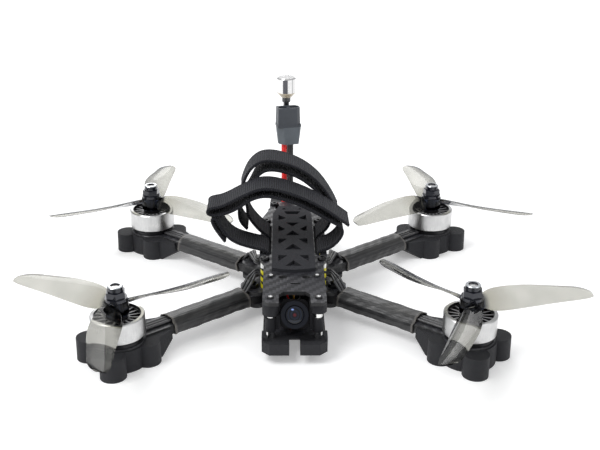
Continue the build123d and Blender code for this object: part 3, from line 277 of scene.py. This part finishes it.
def carbon():
    """Two-by-two twill on the faces, laminate lines on the cut edges."""
    made = Finish("carbon_twill", {"Specular IOR Level": 0.40, "Coat Weight": 0.03, "Coat Roughness": 0.25})
    u = made.math("DIVIDE", made.axis("X"), TOW)
    v = made.math("DIVIDE", made.axis("Y"), TOW)
    step = made.math("SUBTRACT", made.math("FLOOR", u), made.math("FLOOR", v))
    over = made.math("LESS_THAN", made.math("FLOORED_MODULO", step, 4.0), 2.0)
    crown_u = made.math("SINE", made.math("MULTIPLY", made.math("FRACT", u), pi))
    crown_v = made.math("SINE", made.math("MULTIPLY", made.math("FRACT", v), pi))
    crown = made.add("Mix", {0: over, 2: crown_v, 3: crown_u}, data_type="FLOAT")
    fibre_sheen = made.add("Mix", {0: over, 2: made.noise(1.0, 2.0, (300, 9000, 300)),
                             3: made.noise(1.0, 2.0, (9000, 300, 300))}, data_type="FLOAT")
    lines = made.wave(made.axis("Z"), PLY)
    top = made.facing_up()
    # painted sheen: the tows of one direction are painted lighter than the others, with lighter streaks along
    # the fibres, for the way the tows catch the light; the check pattern itself is the twill's own
    weave = made.mix(over, (0.007, 0.007, 0.010, 1), (0.031, 0.032, 0.038, 1))
    weave = made.mix(made.math("MULTIPLY", fibre_sheen, 0.40), weave, (0.070, 0.070, 0.076, 1))
    edge = made.mix(made.span(lines, -1, 1), (0.010, 0.010, 0.011, 1), (0.034, 0.034, 0.036, 1))
    made.set(Base_Color=made.mix(top, edge, weave), Roughness=made.between(over, 0.52, 0.36))
    height = made.add("Mix", {0: top, 2: lines, 3: crown}, data_type="FLOAT")
    return made.bump(height, 0.05 * MM)


def printed(name, shade, layer=0.34, raster=0.5, roughness=0.62):
    """Printed plastic: stacked layers on the sides, diagonal strokes on level faces."""
    made = Finish(name, {"Specular IOR Level": 0.36, "Sheen Weight": 0.04, "Sheen Roughness": 0.4})
    stack = made.wave(made.axis("Z"), layer * MM)
    diagonal = made.math("ADD", made.axis("X"), made.axis("Y"))
    strokes = made.wave(diagonal, raster * MM * DIAGONAL)
    height = made.add("Mix", {0: made.facing_up(), 2: stack, 3: strokes}, data_type="FLOAT")
    wander = made.noise(420.0, 4.0)
    grain = made.noise(2600.0, 2.0)
    dark = (shade * 0.78, shade * 0.80, shade * 0.98, 1)
    light = (shade * 1.50, shade * 1.55, shade * 1.95, 1)
    tone = made.math("ADD", made.math("MULTIPLY", wander, 0.7), made.math("MULTIPLY", height, 0.12))
    made.set(Base_Color=made.mix(tone, dark, light),
             Roughness=made.between(grain, roughness - 0.12, roughness + 0.12))
    return made.bump(made.math("ADD", height, made.math("MULTIPLY", grain, 0.8)), 0.045 * MM)


def turned_metal(name, colour, roughness):
    """Metal with fine lathe lines round the vertical axis and faint handling marks."""
    made = Finish(name, {"Metallic": 1.0})
    lines = made.noise(1.0, 3.0, (90, 90, 5200))
    smudge = made.noise(260.0, 3.0)
    darker = tuple(channel * 0.82 for channel in colour) + (1,)
    made.set(Base_Color=made.mix(made.math("MULTIPLY", smudge, 0.7), colour + (1,), darker),
             Roughness=made.between(made.math("MULTIPLY", lines, smudge), roughness * 0.75, roughness * 1.7))
    return made.bump(lines, 0.012 * MM, 0.8)


def tipped_screws():
    """Black button heads, each with a white spot in its socket: bright metal there, painted flat white so
    that it stays bright in the socket's shade.
    """
    made = Finish("tipped_screws", {})
    centre = middle("front_top_screws")
    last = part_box("front_top_screws")[1]
    across = made.math("SUBTRACT", made.math("ABSOLUTE", made.axis("X")), last.x - SCREW_HEAD_R)
    ahead = made.math("SUBTRACT", made.math("ABSOLUTE", made.math("SUBTRACT", made.axis("Y"), centre.y)),
                      last.y - SCREW_HEAD_R - centre.y)
    # partly painted light: the spot stands for bright metal, kept flat white against the shade in the socket
    tip = made.math("LESS_THAN", made.distance(across, ahead), SOCKET_R)
    worn = made.noise(1800.0, 2.0)
    made.set(Base_Color=made.mix(tip, (0.012, 0.012, 0.013, 1), (0.90, 0.90, 0.90, 1)),
             Roughness=made.between(worn, 0.3, 0.5))
    return made.bump(worn, 0.01 * MM)


def smooth_plastic(name, colour, roughness, grain=900.0, depth=0.01, **settings):
    """Moulded plastic or rubber with a faint grain and uneven gloss."""
    made = Finish(name, settings)
    spots = made.noise(grain, 3.0)
    broad = made.noise(170.0, 2.0)
    lighter = tuple(min(channel * 1.4 + 0.001, 1.0) for channel in colour) + (1,)
    made.set(Base_Color=made.mix(broad, colour + (1,), lighter),
             Roughness=made.between(spots, roughness * 0.8, roughness * 1.25))
    return made.bump(spots, depth * MM)


def banded():
    """Yellow and black slanted bands round the short posts, bare metal at the top."""
    made = Finish("banded_posts", {"Specular IOR Level": 0.5, "Roughness": 0.32})
    slant = made.math("ADD", made.axis("Z"), made.math("MULTIPLY", made.axis("X"), 0.55))
    wave = made.wave(slant, BAND_PITCH)
    stripe = made.span(wave, -0.35, -0.15)
    wear = made.noise(1800.0, 3.0)
    yellow = made.mix(wear, (0.80, 0.72, 0.02, 1), (0.62, 0.55, 0.01, 1))
    body = made.mix(stripe, (0.012, 0.011, 0.010, 1), yellow)
    tip = made.math("GREATER_THAN", made.axis("Z"), ROOF_LOW_Z - BARE_TIP)
    made.set(Base_Color=made.mix(tip, body, (0.9, 0.9, 0.88, 1)), Metallic=made.math("MULTIPLY", tip, 0.6))
    return made.bump(wear, 0.01 * MM)


def copper():
    """Enamelled winding: wire turns round each tooth, darker in patches."""
    made = Finish("copper_winding", {"Metallic": 0.85, "Coat Weight": 0.4, "Coat Roughness": 0.2})
    turns = made.wave(made.axis("Z"), WINDING_PITCH)
    worn = made.noise(1500.0, 2.0)
    made.set(Base_Color=made.mix(worn, (0.10, 0.022, 0.008, 1), (0.62, 0.17, 0.05, 1)),
             Roughness=made.between(turns, 0.28, 0.48))
    return made.bump(turns, 0.08 * MM)


def circuit():
    """Dark solder mask with thin tracks, pale pads and tinned spots."""
    made = Finish("circuit_board", {})
    tracks = made.noise(520.0, 1.0, (1, 0.12, 1))
    pads = made.add("TexVoronoi", {"Vector": made.place(), "Scale": 620.0}, output="Distance",
                    feature="F1", distance="CHEBYCHEV")
    pad = made.math("LESS_THAN", pads, 0.17)
    line = made.math("GREATER_THAN", tracks, 0.60)
    mask = made.mix(line, (0.012, 0.014, 0.022, 1), (0.026, 0.032, 0.046, 1))
    made.set(Base_Color=made.mix(pad, mask, (0.80, 0.62, 0.30, 1)), Metallic=pad,
             Roughness=made.between(tracks, 0.3, 0.5))
    return made.bump(made.math("ADD", line, pad), 0.03 * MM)


def webbing():
    """Woven strap: ribs across the length, a woven texture between, smooth corded edges.

    Its coordinates are the strap's own: u along its length and v across its width, in metres.
    """
    made = Finish("webbing_black", {"Sheen Weight": 0.08, "Sheen Roughness": 0.4, "Specular IOR Level": 0.25})
    along = made.add("UVMap", {}, output=0)
    u = made.axis("X", along)
    v = made.axis("Y", along)
    rib = made.wave(u, RIB_PITCH)
    cell = made.wave(v, CELL_PITCH)
    weave = made.math("MULTIPLY", rib, made.between(cell, 0.55, 1.0))
    edge = made.math("GREATER_THAN", made.math("ABSOLUTE", v), STRAP_FLAT_HALF)
    fuzz = made.noise(3200.0, 3.0)
    clump = made.noise(1100.0, 2.0)
    tone = made.math("ADD", made.math("MULTIPLY", weave, 0.42), made.math("MULTIPLY", clump, 0.75))
    cloth = made.mix(tone, (0.0022, 0.0023, 0.003, 1), (0.044, 0.047, 0.062, 1))
    cord = made.mix(fuzz, (0.003, 0.003, 0.0045, 1), (0.020, 0.021, 0.029, 1))
    made.set(Base_Color=made.mix(edge, cloth, cord), Roughness=made.between(fuzz, 0.62, 0.95))
    return made.bump(made.math("ADD", weave, made.math("MULTIPLY", clump, 0.9)), 0.45 * MM)


def smoke():
    """Smoky clear polycarbonate blades on a dark glossy hub.

    A blade seen edge on is looked at through its whole width and mirrors dark things there, so the glass is
    painted near black: partly real depth of colour, partly painted reflection.
    """
    made = Finish("prop_smoke", {"Transmission Weight": 1.0, "IOR": 1.24, "Specular IOR Level": 0.5})
    haze = made.noise(70.0, 2.0)
    clear = made.mix(haze, (0.44, 0.437, 0.40, 1), (0.60, 0.592, 0.55, 1))
    radius = made.motor_radius()
    clear = made.mix(made.span(radius, ROOT_R, ROOT_FADE_R), (0.36, 0.35, 0.30, 1), clear)
    # partly painted reflection: the blades turn near black where seen edge on
    edge_on = made.span(made.add("LayerWeight", {"Blend": 0.5}, output="Facing"), 0.56, 0.76)
    clear = made.mix(edge_on, clear, (0.020, 0.022, 0.030, 1))
    root = made.span(radius, HUB_R, HUB_FADE_R)
    made.set(Base_Color=made.mix(root, (0.020, 0.024, 0.036, 1), clear),
             Roughness=made.between(haze, 0.03, 0.08))
    return made


def bell():
    """Satin silver bell: brushed wall, black anodised recess crossed by black spokes, their upper faces
    painted grey as a highlight.
    """
    made = Finish("bell_silver", {})
    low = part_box("motor_bell_front_left")[0]
    recess_z = low.z + BELL_RIM_H - RECESS_DEPTH
    brush = made.noise(1.0, 3.0, (2600, 2600, 140))
    smudge = made.noise(240.0, 3.0)
    radius = made.motor_radius()
    recess = made.math("MULTIPLY", made.math("LESS_THAN", radius, RECESS_R),
                       made.math("GREATER_THAN", made.axis("Z"), recess_z))
    # painted highlight: the spokes' level upper faces are painted grey
    spoke_highlight = made.math("MULTIPLY", made.facing_up(), made.math("GREATER_THAN", radius, SPOKE_R))
    hub = made.mix(spoke_highlight, (0.010, 0.010, 0.012, 1), (0.30, 0.30, 0.31, 1))
    # the wall is darker along its lowest 0.7 mm, fading out by 1.2 mm
    lower_band = made.span(made.axis("Z"), low.z + 0.7 * MM, low.z + 1.2 * MM)
    wall = made.mix(made.math("MULTIPLY", brush, 0.7), (0.74, 0.74, 0.73, 1), (0.50, 0.50, 0.50, 1))
    wall = made.mix(made.math("MULTIPLY", smudge, 0.5), wall, (0.36, 0.36, 0.37, 1))
    wall = made.mix(lower_band, (0.20, 0.20, 0.20, 1), wall)
    post = made.math("LESS_THAN", radius, POST_R)
    inside = made.math("MULTIPLY", recess, made.math("SUBTRACT", 1.0, post))
    bare = made.mix(post, wall, (0.86, 0.86, 0.85, 1))
    made.set(Base_Color=made.mix(inside, bare, hub), Metallic=made.math("SUBTRACT", 1.0, inside),
             Roughness=made.between(made.math("MULTIPLY", brush, smudge), 0.20, 0.66))
    return made.bump(brush, 0.014 * MM)


def shrink():
    """Heat-shrunk tube: glossy dark film with lengthwise creases, with painted highlights along them."""
    made = Finish("shrink_sleeve", {"Specular IOR Level": 0.45, "Coat Weight": 0.12, "Coat Roughness": 0.18})
    along = made.add("UVMap", {}, output=0)
    u = made.axis("X", along)
    v = made.axis("Y", along)
    point = made.add("CombineXYZ", {"X": made.math("MULTIPLY", u, 26.0),
                                    "Y": made.math("MULTIPLY", v, 620.0)})
    crease = made.add("TexNoise", {"Vector": point, "Scale": 1.0, "Detail": 4.0}, output="Fac")
    dust = made.noise(1500.0, 3.0)
    ends = made.span(made.math("ABSOLUTE", u), SLEEVE_RIM, SLEEVE_RIM_FULL)
    # painted highlights: the film is painted lighter along the creases, and lighter still on upward faces
    film = made.mix(made.span(crease, 0.40, 0.70), (0.004, 0.004, 0.005, 1), (0.034, 0.034, 0.035, 1))
    upward = made.span(made.axis("Z", made.add("NewGeometry", {}, output="Normal")), 0.72, 0.97)
    lit = made.math("MULTIPLY", upward, made.between(crease, 0.15, 0.75))
    film = made.mix(lit, film, (0.080, 0.079, 0.078, 1))
    made.set(Base_Color=made.mix(ends, film, (0.15, 0.14, 0.13, 1)),
             Roughness=made.between(dust, 0.22, 0.42))
    return made.bump(made.math("ADD", crease, made.math("MULTIPLY", dust, 0.1)), 0.5 * MM)


def head_metal():
    """Polished antenna cap over a cream moulded base, with dark painted reflections in bands round its
    upright sides.
    """
    made = Finish("antenna_cap", {})
    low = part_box("antenna_head")[0]
    centre = middle("antenna_head")
    split = made.math("GREATER_THAN", made.axis("Z"), low.z + CAP_LOW)
    worn = made.noise(700.0, 3.0)
    turn = made.math("ARCTAN2", made.math("SUBTRACT", made.axis("Y"), centre.y),
                     made.math("SUBTRACT", made.axis("X"), centre.x))
    bands = made.math("ADD", made.math("SINE", made.math("MULTIPLY", turn, 3.0)),
                      made.math("SINE", made.math("ADD", made.math("MULTIPLY", turn, 7.0), 1.0)))
    # painted reflection: dark bands round the cap's upright sides
    painted_reflection = made.math("MULTIPLY", made.span(bands, 0.2, 0.7), made.math("SUBTRACT", 1.0, made.facing_up()))
    cap = made.mix(worn, (0.84, 0.83, 0.82, 1), (0.62, 0.62, 0.62, 1))
    cap = made.mix(painted_reflection, cap, (0.10, 0.10, 0.11, 1))
    base = made.mix(worn, (0.62, 0.54, 0.40, 1), (0.42, 0.35, 0.25, 1))
    made.set(Base_Color=made.mix(split, base, cap), Metallic=split, Roughness=made.between(worn, 0.10, 0.24))
    return made.bump(worn, 0.01 * MM)


def nut():
    """Dark anodised lock nut, its top face bright metal round the post's end."""
    made = Finish("nut_dark", {"Coat Weight": 0.5, "Coat Roughness": 0.1})
    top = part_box("prop_nut_front_left")[1].z
    worn = made.noise(1500.0, 2.0)
    high_up = made.math("GREATER_THAN", made.axis("Z"), top - NUT_END)
    end = made.math("MULTIPLY", made.facing_up(), high_up)
    made.set(Base_Color=made.mix(end, (0.010, 0.012, 0.020, 1), (0.62, 0.64, 0.66, 1)),
             Metallic=made.between(end, 0.4, 0.9), Roughness=made.between(worn, 0.14, 0.3))
    return made.bump(worn, 0.008 * MM)


def front_glass():
    """Coated front element: deep blue black, with a small red glow at its middle and a painted blue-white
    highlight above and left of it.
    """
    made = Finish("front_glass", {"IOR": 1.38, "Roughness": 0.04, "Coat Weight": 0.12,
                                  "Coat Roughness": 0.01})
    spot = made.distance(made.axis("X"), made.math("SUBTRACT", made.axis("Z"), LENS_FACE.z))
    film = made.noise(240.0, 1.0)
    rings = made.wave(spot, 1.5 * MM)
    dark = made.mix(made.span(rings, -0.2, 0.6), (0.003, 0.004, 0.007, 1), (0.008, 0.012, 0.024, 1))
    pupil = made.span(spot, 1.1 * MM, 0.4 * MM)
    # painted highlight: a blue-white spot above and left of the lens's middle
    glint_x = made.math("ADD", made.axis("X"), 1.1 * MM)
    glint_z = made.math("MULTIPLY", made.math("SUBTRACT", made.axis("Z"), LENS_FACE.z + 2.4 * MM), 1.9)
    painted_glint = made.span(made.distance(glint_x, glint_z), 0.9 * MM, 0.3 * MM)
    coating_and_glint = made.mix(painted_glint, dark, (0.30, 0.42, 0.85, 1))
    made.set(Base_Color=made.mix(made.math("MULTIPLY", pupil, made.between(film, 0.5, 1.0)), coating_and_glint,
                                 (0.10, 0.008, 0.010, 1)))
    return made


def silicone(name, colour):
    """Soft wire insulation, slightly satin."""
    return smooth_plastic(name, colour, 0.36, grain=1400.0, depth=0.006,
                          **{"Subsurface Weight": 0.05, "Subsurface Scale": 0.001, "Coat Weight": 0.15,
                             "Coat Roughness": 0.3})


TILT = radians(25.0)
LENS_REACH = 14.0 * MM            # front rim, from the tilt axis
LENS_DIR = Vector((0, -cos(TILT), sin(TILT)))
JOINTS = {joint["name"]: joint for joint in frame["record"]["behaviour"]["joints"]}
LENS_FACE = Vector(JOINTS["camera_tilt"]["pos_m"]) + LENS_DIR * LENS_REACH

FINISHES = {
    "carbon": carbon(),
    "printed_black": printed("printed_black", 0.013),
    "pad_black": printed("pad_black", 0.020, layer=0.4, raster=0.55, roughness=0.78),
    "bright_aluminium": turned_metal("bright_aluminium", (0.88, 0.88, 0.87), 0.22),
    "yellow_bands": banded(),
    "bright_steel": turned_metal("bright_steel", (0.90, 0.90, 0.89), 0.14),
    "black_screws": smooth_plastic("black_oxide", (0.012, 0.012, 0.013), 0.3, Metallic=0.7),
    "rubber_black": smooth_plastic("rubber_black", (0.010, 0.010, 0.010), 0.7, depth=0.02),
    "black_aluminium": smooth_plastic("anodised_black", (0.018, 0.018, 0.020), 0.38, Metallic=0.6),
    "copper_windings": copper(),
    "wire_grey": smooth_plastic("motor_wire", (0.045, 0.045, 0.048), 0.3, **{"Coat Weight": 0.25}),
    "circuit_board": circuit(),
    "button_white": smooth_plastic("button_white", (0.80, 0.79, 0.75), 0.45),
    "capacitor_sleeve": smooth_plastic("capacitor_sleeve", (0.02, 0.025, 0.05), 0.22, **{"Coat Weight": 0.5}),
    "camera_black": smooth_plastic("camera_black", (0.001, 0.001, 0.002), 0.42, grain=2400.0, depth=0.02,
                                   **{"Specular IOR Level": 0.22}),
    "lens_black": smooth_plastic("lens_black", (0.0015, 0.0025, 0.006), 0.30, grain=3000.0, depth=0.008,
                                 **{"Specular IOR Level": 0.3}),
    "webbing": webbing(),
    "silicone_red": silicone("silicone_red", (0.72, 0.012, 0.010)),
    "silicone_black": silicone("silicone_black", (0.016, 0.016, 0.017)),
    "plug_dark": smooth_plastic("plug_dark", (0.050, 0.056, 0.066), 0.5, grain=2000.0, depth=0.02),
    "plug_grey": smooth_plastic("plug_grey", (0.105, 0.120, 0.135), 0.55, grain=2000.0, depth=0.02),
    "coax_black": smooth_plastic("coax_black", (0.010, 0.010, 0.012), 0.2, **{"Coat Weight": 0.6}),
    "chrome_head": head_metal(),
    "bell_silver": bell(),
    "prop_smoke": smoke(),
    "nut_black": nut(),
    "shrink_sleeve": shrink(),
}
WIRE_FINISHES = {
    "silicone_red": FINISHES["silicone_red"],
    "silicone_black": FINISHES["silicone_black"],
    "silicone_yellow": silicone("silicone_yellow", (0.80, 0.42, 0.03)),
}


def paint(obj, slot_name):
    """Gives the piece the finish of one of the record's slots."""
    material = FINISHES[slot_name].material
    obj.data.materials.clear()
    obj.data.materials.append(material)


def paint_nodes():
    """Every CAD node keeps its shape and gets the finish of its own slot."""
    for subpart in frame["record"]["subparts"]:
        paint(nodes[subpart["node"]], subpart["material_slot"])
    heads = nodes["front_top_screws"].data.materials
    heads.clear()
    heads.append(tipped_screws().material)


# ---------------------------------------------------------------- mesh helpers
def add_mesh(name, points, faces, uv=None):
    mesh = bpy.data.meshes.new(name)
    mesh.from_pydata([tuple(point) for point in points], [], faces)
    mesh.shade_smooth()
    if uv is not None:
        layer = mesh.uv_layers.new(name="UVMap")
        for loop in mesh.loops:
            layer.data[loop.index].uv = uv[loop.vertex_index]
    obj = bpy.data.objects.new(name, mesh)
    bpy.context.scene.collection.objects.link(obj)
    return obj


def spline_curve(name, points, thickness=0.0, closed=False, resolution=12):
    """NURBS curve of order 3 with these control points."""
    curve = bpy.data.curves.new(name, "CURVE")
    curve.dimensions = "3D"
    spline = curve.splines.new("NURBS")
    spline.points.add(len(points) - 1)
    for knot, point in zip(spline.points, points):
        knot.co = (*point, 1.0)
    spline.order_u = 3
    if closed:
        spline.use_cyclic_u = True
    else:
        spline.use_endpoint_u = True
    spline.resolution_u = resolution
    if thickness:
        curve.bevel_depth = thickness / 2
        curve.bevel_resolution = 5
        curve.use_fill_caps = True
    obj = bpy.data.objects.new(name, curve)
    bpy.context.scene.collection.objects.link(obj)
    return obj


def mesh_of(curve):
    """Mesh of a curve object, which goes away."""
    bpy.context.view_layer.update()
    mesh = bpy.data.meshes.new_from_object(curve.evaluated_get(bpy.context.evaluated_depsgraph_get()))
    bpy.data.objects.remove(curve)
    return mesh


def line_of(points, closed=False, resolution=12):
    """Points along the NURBS curve of these control points."""
    mesh = mesh_of(spline_curve("guide", points, closed=closed, resolution=resolution))
    line = [vertex.co.copy() for vertex in mesh.vertices]
    bpy.data.meshes.remove(mesh)
    return line


def band(first, second, size):
    """Four-sided faces between two rings of this many points, given by their first indices."""
    return [(first + k, first + (k + 1) % size, second + (k + 1) % size, second + k) for k in range(size)]


def turned_over(faces):
    return [tuple(reversed(face)) for face in faces]


# ---------------------------------------------------------------- battery leads
LEAD_X = {"red": -4.8, "black": -0.7}
LEAD_ROUTE = [(20.6, 14.0), (31.0, 14.0), (43.0, 12.1), (56.5, 12.0), (68.0, 14.6), (74.6, 22.6),
              (76.0, 34.0), (75.4, 49.0), (75.4, 64.0)]
LEAD_THICK = 3.5 * MM


def make_leads():
    for colour, x in LEAD_X.items():
        route = [Vector((x, y, z)) * MM for y, z in LEAD_ROUTE]
        lead = spline_curve("lead_" + colour, route, LEAD_THICK)
        paint(lead, "silicone_" + colour)
        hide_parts("power_lead_" + colour)
        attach(lead, FRAME_BODY)


# ---------------------------------------------------------------- camera cable
CABLE_THICK = 1.0 * MM
CABLE_X = {"red": -2.2, "yellow": 0.0, "black": 2.2}
CABLE_SPREAD = 2.4                # how much wider apart the wires are at their highest
CABLE_PLUG_Z = 12.4
CABLE_OUT_Z = 12.8
CABLE_RISE_Z = 21.0
CABLE_TOP_Z = 22.4
CABLE_BOARD_Z = 17.6


def make_camera_cable():
    """Three thin wires from the plug behind the camera to the flight controller."""
    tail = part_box("camera_body")[1].y / MM
    board_low, board_high = [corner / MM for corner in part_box("flight_controller")]
    for colour, x in CABLE_X.items():
        sway = x * CABLE_SPREAD
        route = [(x, tail - 1.2, CABLE_PLUG_Z), (x, tail + 4.0, CABLE_OUT_Z),
                 (sway, tail + 9.0, CABLE_RISE_Z), (sway, tail + 16.0, CABLE_TOP_Z),
                 (x, board_low.y - 3.0, CABLE_BOARD_Z),
                 (x, board_low.y + 2.4, board_high.z + CABLE_THICK / MM / 2)]
        route = [Vector(point) * MM for point in route]
        mesh = mesh_of(spline_curve("guide", route, CABLE_THICK))
        wire = bpy.data.objects.new("camera_wire_" + colour, mesh)
        bpy.context.scene.collection.objects.link(wire)
        mesh.materials.clear()
        mesh.materials.append(WIRE_FINISHES["silicone_" + colour].material)
        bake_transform(wire)
        line_of(route)


# ---------------------------------------------------------------- straps
STRAP_W = 20 * MM
WEB_T = 1.3 * MM                  # thickness between the corded edges
EDGE_R = 0.85 * MM
EDGE_START = -35                  # degrees, where a corded edge leaves the flat
EDGE_SWEEP = 250
SECTION_STEPS = 8                 # along each side of the cross-section
FRONT_STRAP_Y = -1.5 * MM
REAR_STRAP_Y = 19.3 * MM


def strap_section():
    """Cross-section of the webbing, as (across, out) pairs round it: flat middle, corded edges."""
    half = STRAP_W / 2
    flat = half - 2 * EDGE_R
    shares = [step / SECTION_STEPS for step in range(SECTION_STEPS + 1)]
    turns = [radians(EDGE_START + EDGE_SWEEP * share) for share in shares]
    upper = [(-flat + 2 * flat * share, WEB_T / 2) for share in shares]
    right = [(half - EDGE_R + EDGE_R * sin(turn), EDGE_R * cos(turn)) for turn in turns]
    lower = [(-across, -out) for across, out in upper]
    left = [(-across, -out) for across, out in right]
    return upper + right + lower + left


def make_strap(name, node, outline, middle_y):
    """Webbing swept along an (x, z) outline in millimetres, in place of a CAD strap."""
    line = line_of([Vector((x * MM, middle_y, z * MM)) for x, z in outline], resolution=16)
    section = strap_section()
    size = len(section)
    points, uv, faces = [], [], []
    run = 0.0
    for index, here in enumerate(line):
        after = line[min(index + 1, len(line) - 1)]
        before = line[max(index - 1, 0)]
        heading = (after - before).normalized()
        across = Vector((0, 1, 0))
        across = (across - heading * across.dot(heading)).normalized()
        out = across.cross(heading)
        if index:
            run += (here - before).length
            faces += band(len(points) - size, len(points), size)
        for side, rise in section:
            points.append(here + across * side + out * rise)
            uv.append((run, side))
    faces.append(tuple(reversed(range(size))))
    faces.append(tuple(range(len(points) - size, len(points))))
    strap = add_mesh(name, points, faces, uv=uv)
    paint(strap, "webbing")
    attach(strap, FRAME_BODY)
    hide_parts(node)


FRONT_LOOP = [(-38.2, 34.2), (-41.4, 38.6), (-44.4, 43.6), (-45.6, 47.6), (-43.4, 48.2), (-41.4, 44.8),
              (-38.8, 39.6), (-34.0, 34.4), (-26.0, 31.2), (-13.9, 28.4), (-13.9, 23.0), (13.9, 23.0),
              (13.9, 28.2), (21.5, 30.0), (28.0, 38.0), (27.0, 43.0), (21.5, 46.0), (12.0, 52.0),
              (0.0, 58.0), (-14.0, 61.8), (-22.5, 60.2), (-30.0, 54.8), (-36.0, 51.6), (-42.5, 50.0),
              (-46.6, 50.2), (-48.0, 52.2), (-46.4, 54.2), (-39.5, 55.2), (-27.5, 62.0), (-16.0, 66.8),
              (0.0, 62.8), (13.0, 56.6), (24.0, 49.4), (31.0, 43.8)]
REAR_LOOP = [(-26.4, 33.0), (-30.4, 36.6), (-31.4, 43.6), (-30.2, 49.2), (-27.4, 50.4), (-26.2, 46.6),
             (-26.2, 41.0), (-19.5, 32.0), (-13.9, 28.4), (-13.9, 23.0),
             (13.9, 23.0), (13.9, 28.2), (20.2, 33.0), (22.6, 41.0), (21.4, 47.0), (12.2, 58.4), (1.4, 66.4),
             (-13.6, 70.2), (-20.5, 66.0), (-24.2, 58.0), (-26.8, 53.8), (-29.6, 54.6), (-29.4, 59.0),
             (-24.6, 70.4), (-15.4, 76.0), (2.0, 71.4), (14.6, 62.4), (23.4, 49.0), (26.0, 42.5)]


# ---------------------------------------------------------------- sleeves
SLEEVE_START = 36.5 * MM
SLEEVE_END = 85.5 * MM
SLEEVE_OUTLINE = [(-7.3, 2.0), (-4.0, 1.6), (4.0, 1.6), (7.3, 2.0), (7.6, 3.4), (7.6, 6.6), (7.1, 8.0),
                  (5.2, 9.2), (3.2, 10.3), (1.2, 10.5), (-1.2, 10.3), (-3.2, 10.1), (-5.2, 8.9),
                  (-7.1, 7.8), (-7.6, 6.6), (-7.6, 3.4)]
SLEEVE_MID_Z = 5.9 * MM
SLEEVE_STEPS = 60                 # rings along the sleeve
SLEEVE_BORE = 0.90                # inner face, as a part of the outer one
SLEEVE_MEAN_R = 7 * MM            # turns an angle round the sleeve into a length
FLARE_FROM = 0.93                 # the ends open out from this part of the half length


def make_sleeve(corner):
    """Shrunk tube hugging the arm and the wires on it, with uneven cut ends."""
    motor = MOTOR[corner]
    angle = atan2(motor.y, motor.x)
    out = Vector((cos(angle), sin(angle), 0))
    across = Vector((-sin(angle), cos(angle), 0))
    loop = line_of([(a * MM, z * MM, 0) for a, z in SLEEVE_OUTLINE], closed=True, resolution=4)
    size = len(loop)
    half = (SLEEVE_END - SLEEVE_START) / 2
    phase = CORNERS.index(corner) * 1.7     # no two sleeves are crumpled alike
    points, uv, faces = [], [], []
    for scale in (1.0, SLEEVE_BORE):
        for step in range(SLEEVE_STEPS + 1):
            share = 2 * step / SLEEVE_STEPS - 1
            along = share * half
            flare = 1 + 0.03 * max(0.0, abs(share) - FLARE_FROM) / (1 - FLARE_FROM)
            at_end = abs(step - SLEEVE_STEPS / 2) > SLEEVE_STEPS / 2 - 2
            for k, (a, z, _) in enumerate(loop):
                turn = 2 * pi * k / size
                ragged = 0.5 * MM * sin(3 * turn + phase) + 0.35 * MM * sin(7 * turn + 2 * phase)
                reach = along * (1 + ragged / half * 0.5) if at_end else along
                swell = 1 + 0.018 * sin(9 * share + 2 * turn + phase) + 0.012 * sin(21 * share + 5 * turn)
                grown = scale * swell * flare
                point = out * (SLEEVE_START + half + reach) + across * (a * grown)
                point.z = SLEEVE_MID_Z + (z - SLEEVE_MID_Z) * grown
                points.append(point)
                uv.append((along, turn * SLEEVE_MEAN_R))
    inner = (SLEEVE_STEPS + 1) * size
    last = SLEEVE_STEPS * size
    for ring in range(0, last, size):
        faces += turned_over(band(ring, ring + size, size))
        faces += band(inner + ring, inner + ring + size, size)
    faces += band(0, inner, size)
    faces += turned_over(band(last, inner + last, size))
    sleeve = add_mesh("sleeve_film_" + corner, points, faces, uv=uv)
    paint(sleeve, "shrink_sleeve")
    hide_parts("arm_sleeve_" + corner)
    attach(sleeve, FRAME_BODY)


# ---------------------------------------------------------------- lens front
GLASS_R = 5.1 * MM
GLASS_RISE = 0.9 * MM
GLASS_INSET = 0.85 * MM           # its edge, behind the front rim
GLASS_BACK = 0.2 * MM             # middle of its rear face, behind its edge
GLASS_RINGS = 8
GLASS_SEGMENTS = 40


def make_lens_glass():
    """Domed front element inside the lens rim."""
    side = Vector((1, 0, 0))
    up = LENS_DIR.cross(side)
    start = LENS_FACE - LENS_DIR * GLASS_INSET
    points, faces = [start + LENS_DIR * GLASS_RISE], []
    for ring in range(1, GLASS_RINGS + 1):
        share = ring / GLASS_RINGS
        centre = start + LENS_DIR * GLASS_RISE * (1 - share ** 2)
        for k in range(GLASS_SEGMENTS):
            turn = 2 * pi * k / GLASS_SEGMENTS
            points.append(centre + (side * cos(turn) + up * sin(turn)) * GLASS_R * share)
    edge = 1 + (GLASS_RINGS - 1) * GLASS_SEGMENTS
    for ring in range(1, edge, GLASS_SEGMENTS):
        faces += turned_over(band(ring, ring + GLASS_SEGMENTS, GLASS_SEGMENTS))
    points.append(start - LENS_DIR * GLASS_BACK)
    for k in range(GLASS_SEGMENTS):
        n = (k + 1) % GLASS_SEGMENTS
        faces.append((0, 1 + k, 1 + n))
        faces.append((edge + n, edge + k, len(points) - 1))
    dome = add_mesh("lens_front_glass", points, faces)
    dome.data.materials.append(front_glass().material)
    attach(dome, CAMERA_BODY)


# ---------------------------------------------------------------- build
make_camera()
make_stage()
paint_nodes()
make_leads()
make_camera_cable()
make_lens_glass()
make_strap("strap_webbing_front", "strap_front", FRONT_LOOP, FRONT_STRAP_Y)
make_strap("strap_webbing_rear", "strap_rear", REAR_LOOP, REAR_STRAP_Y)
for corner in CORNERS:
    make_sleeve(corner)
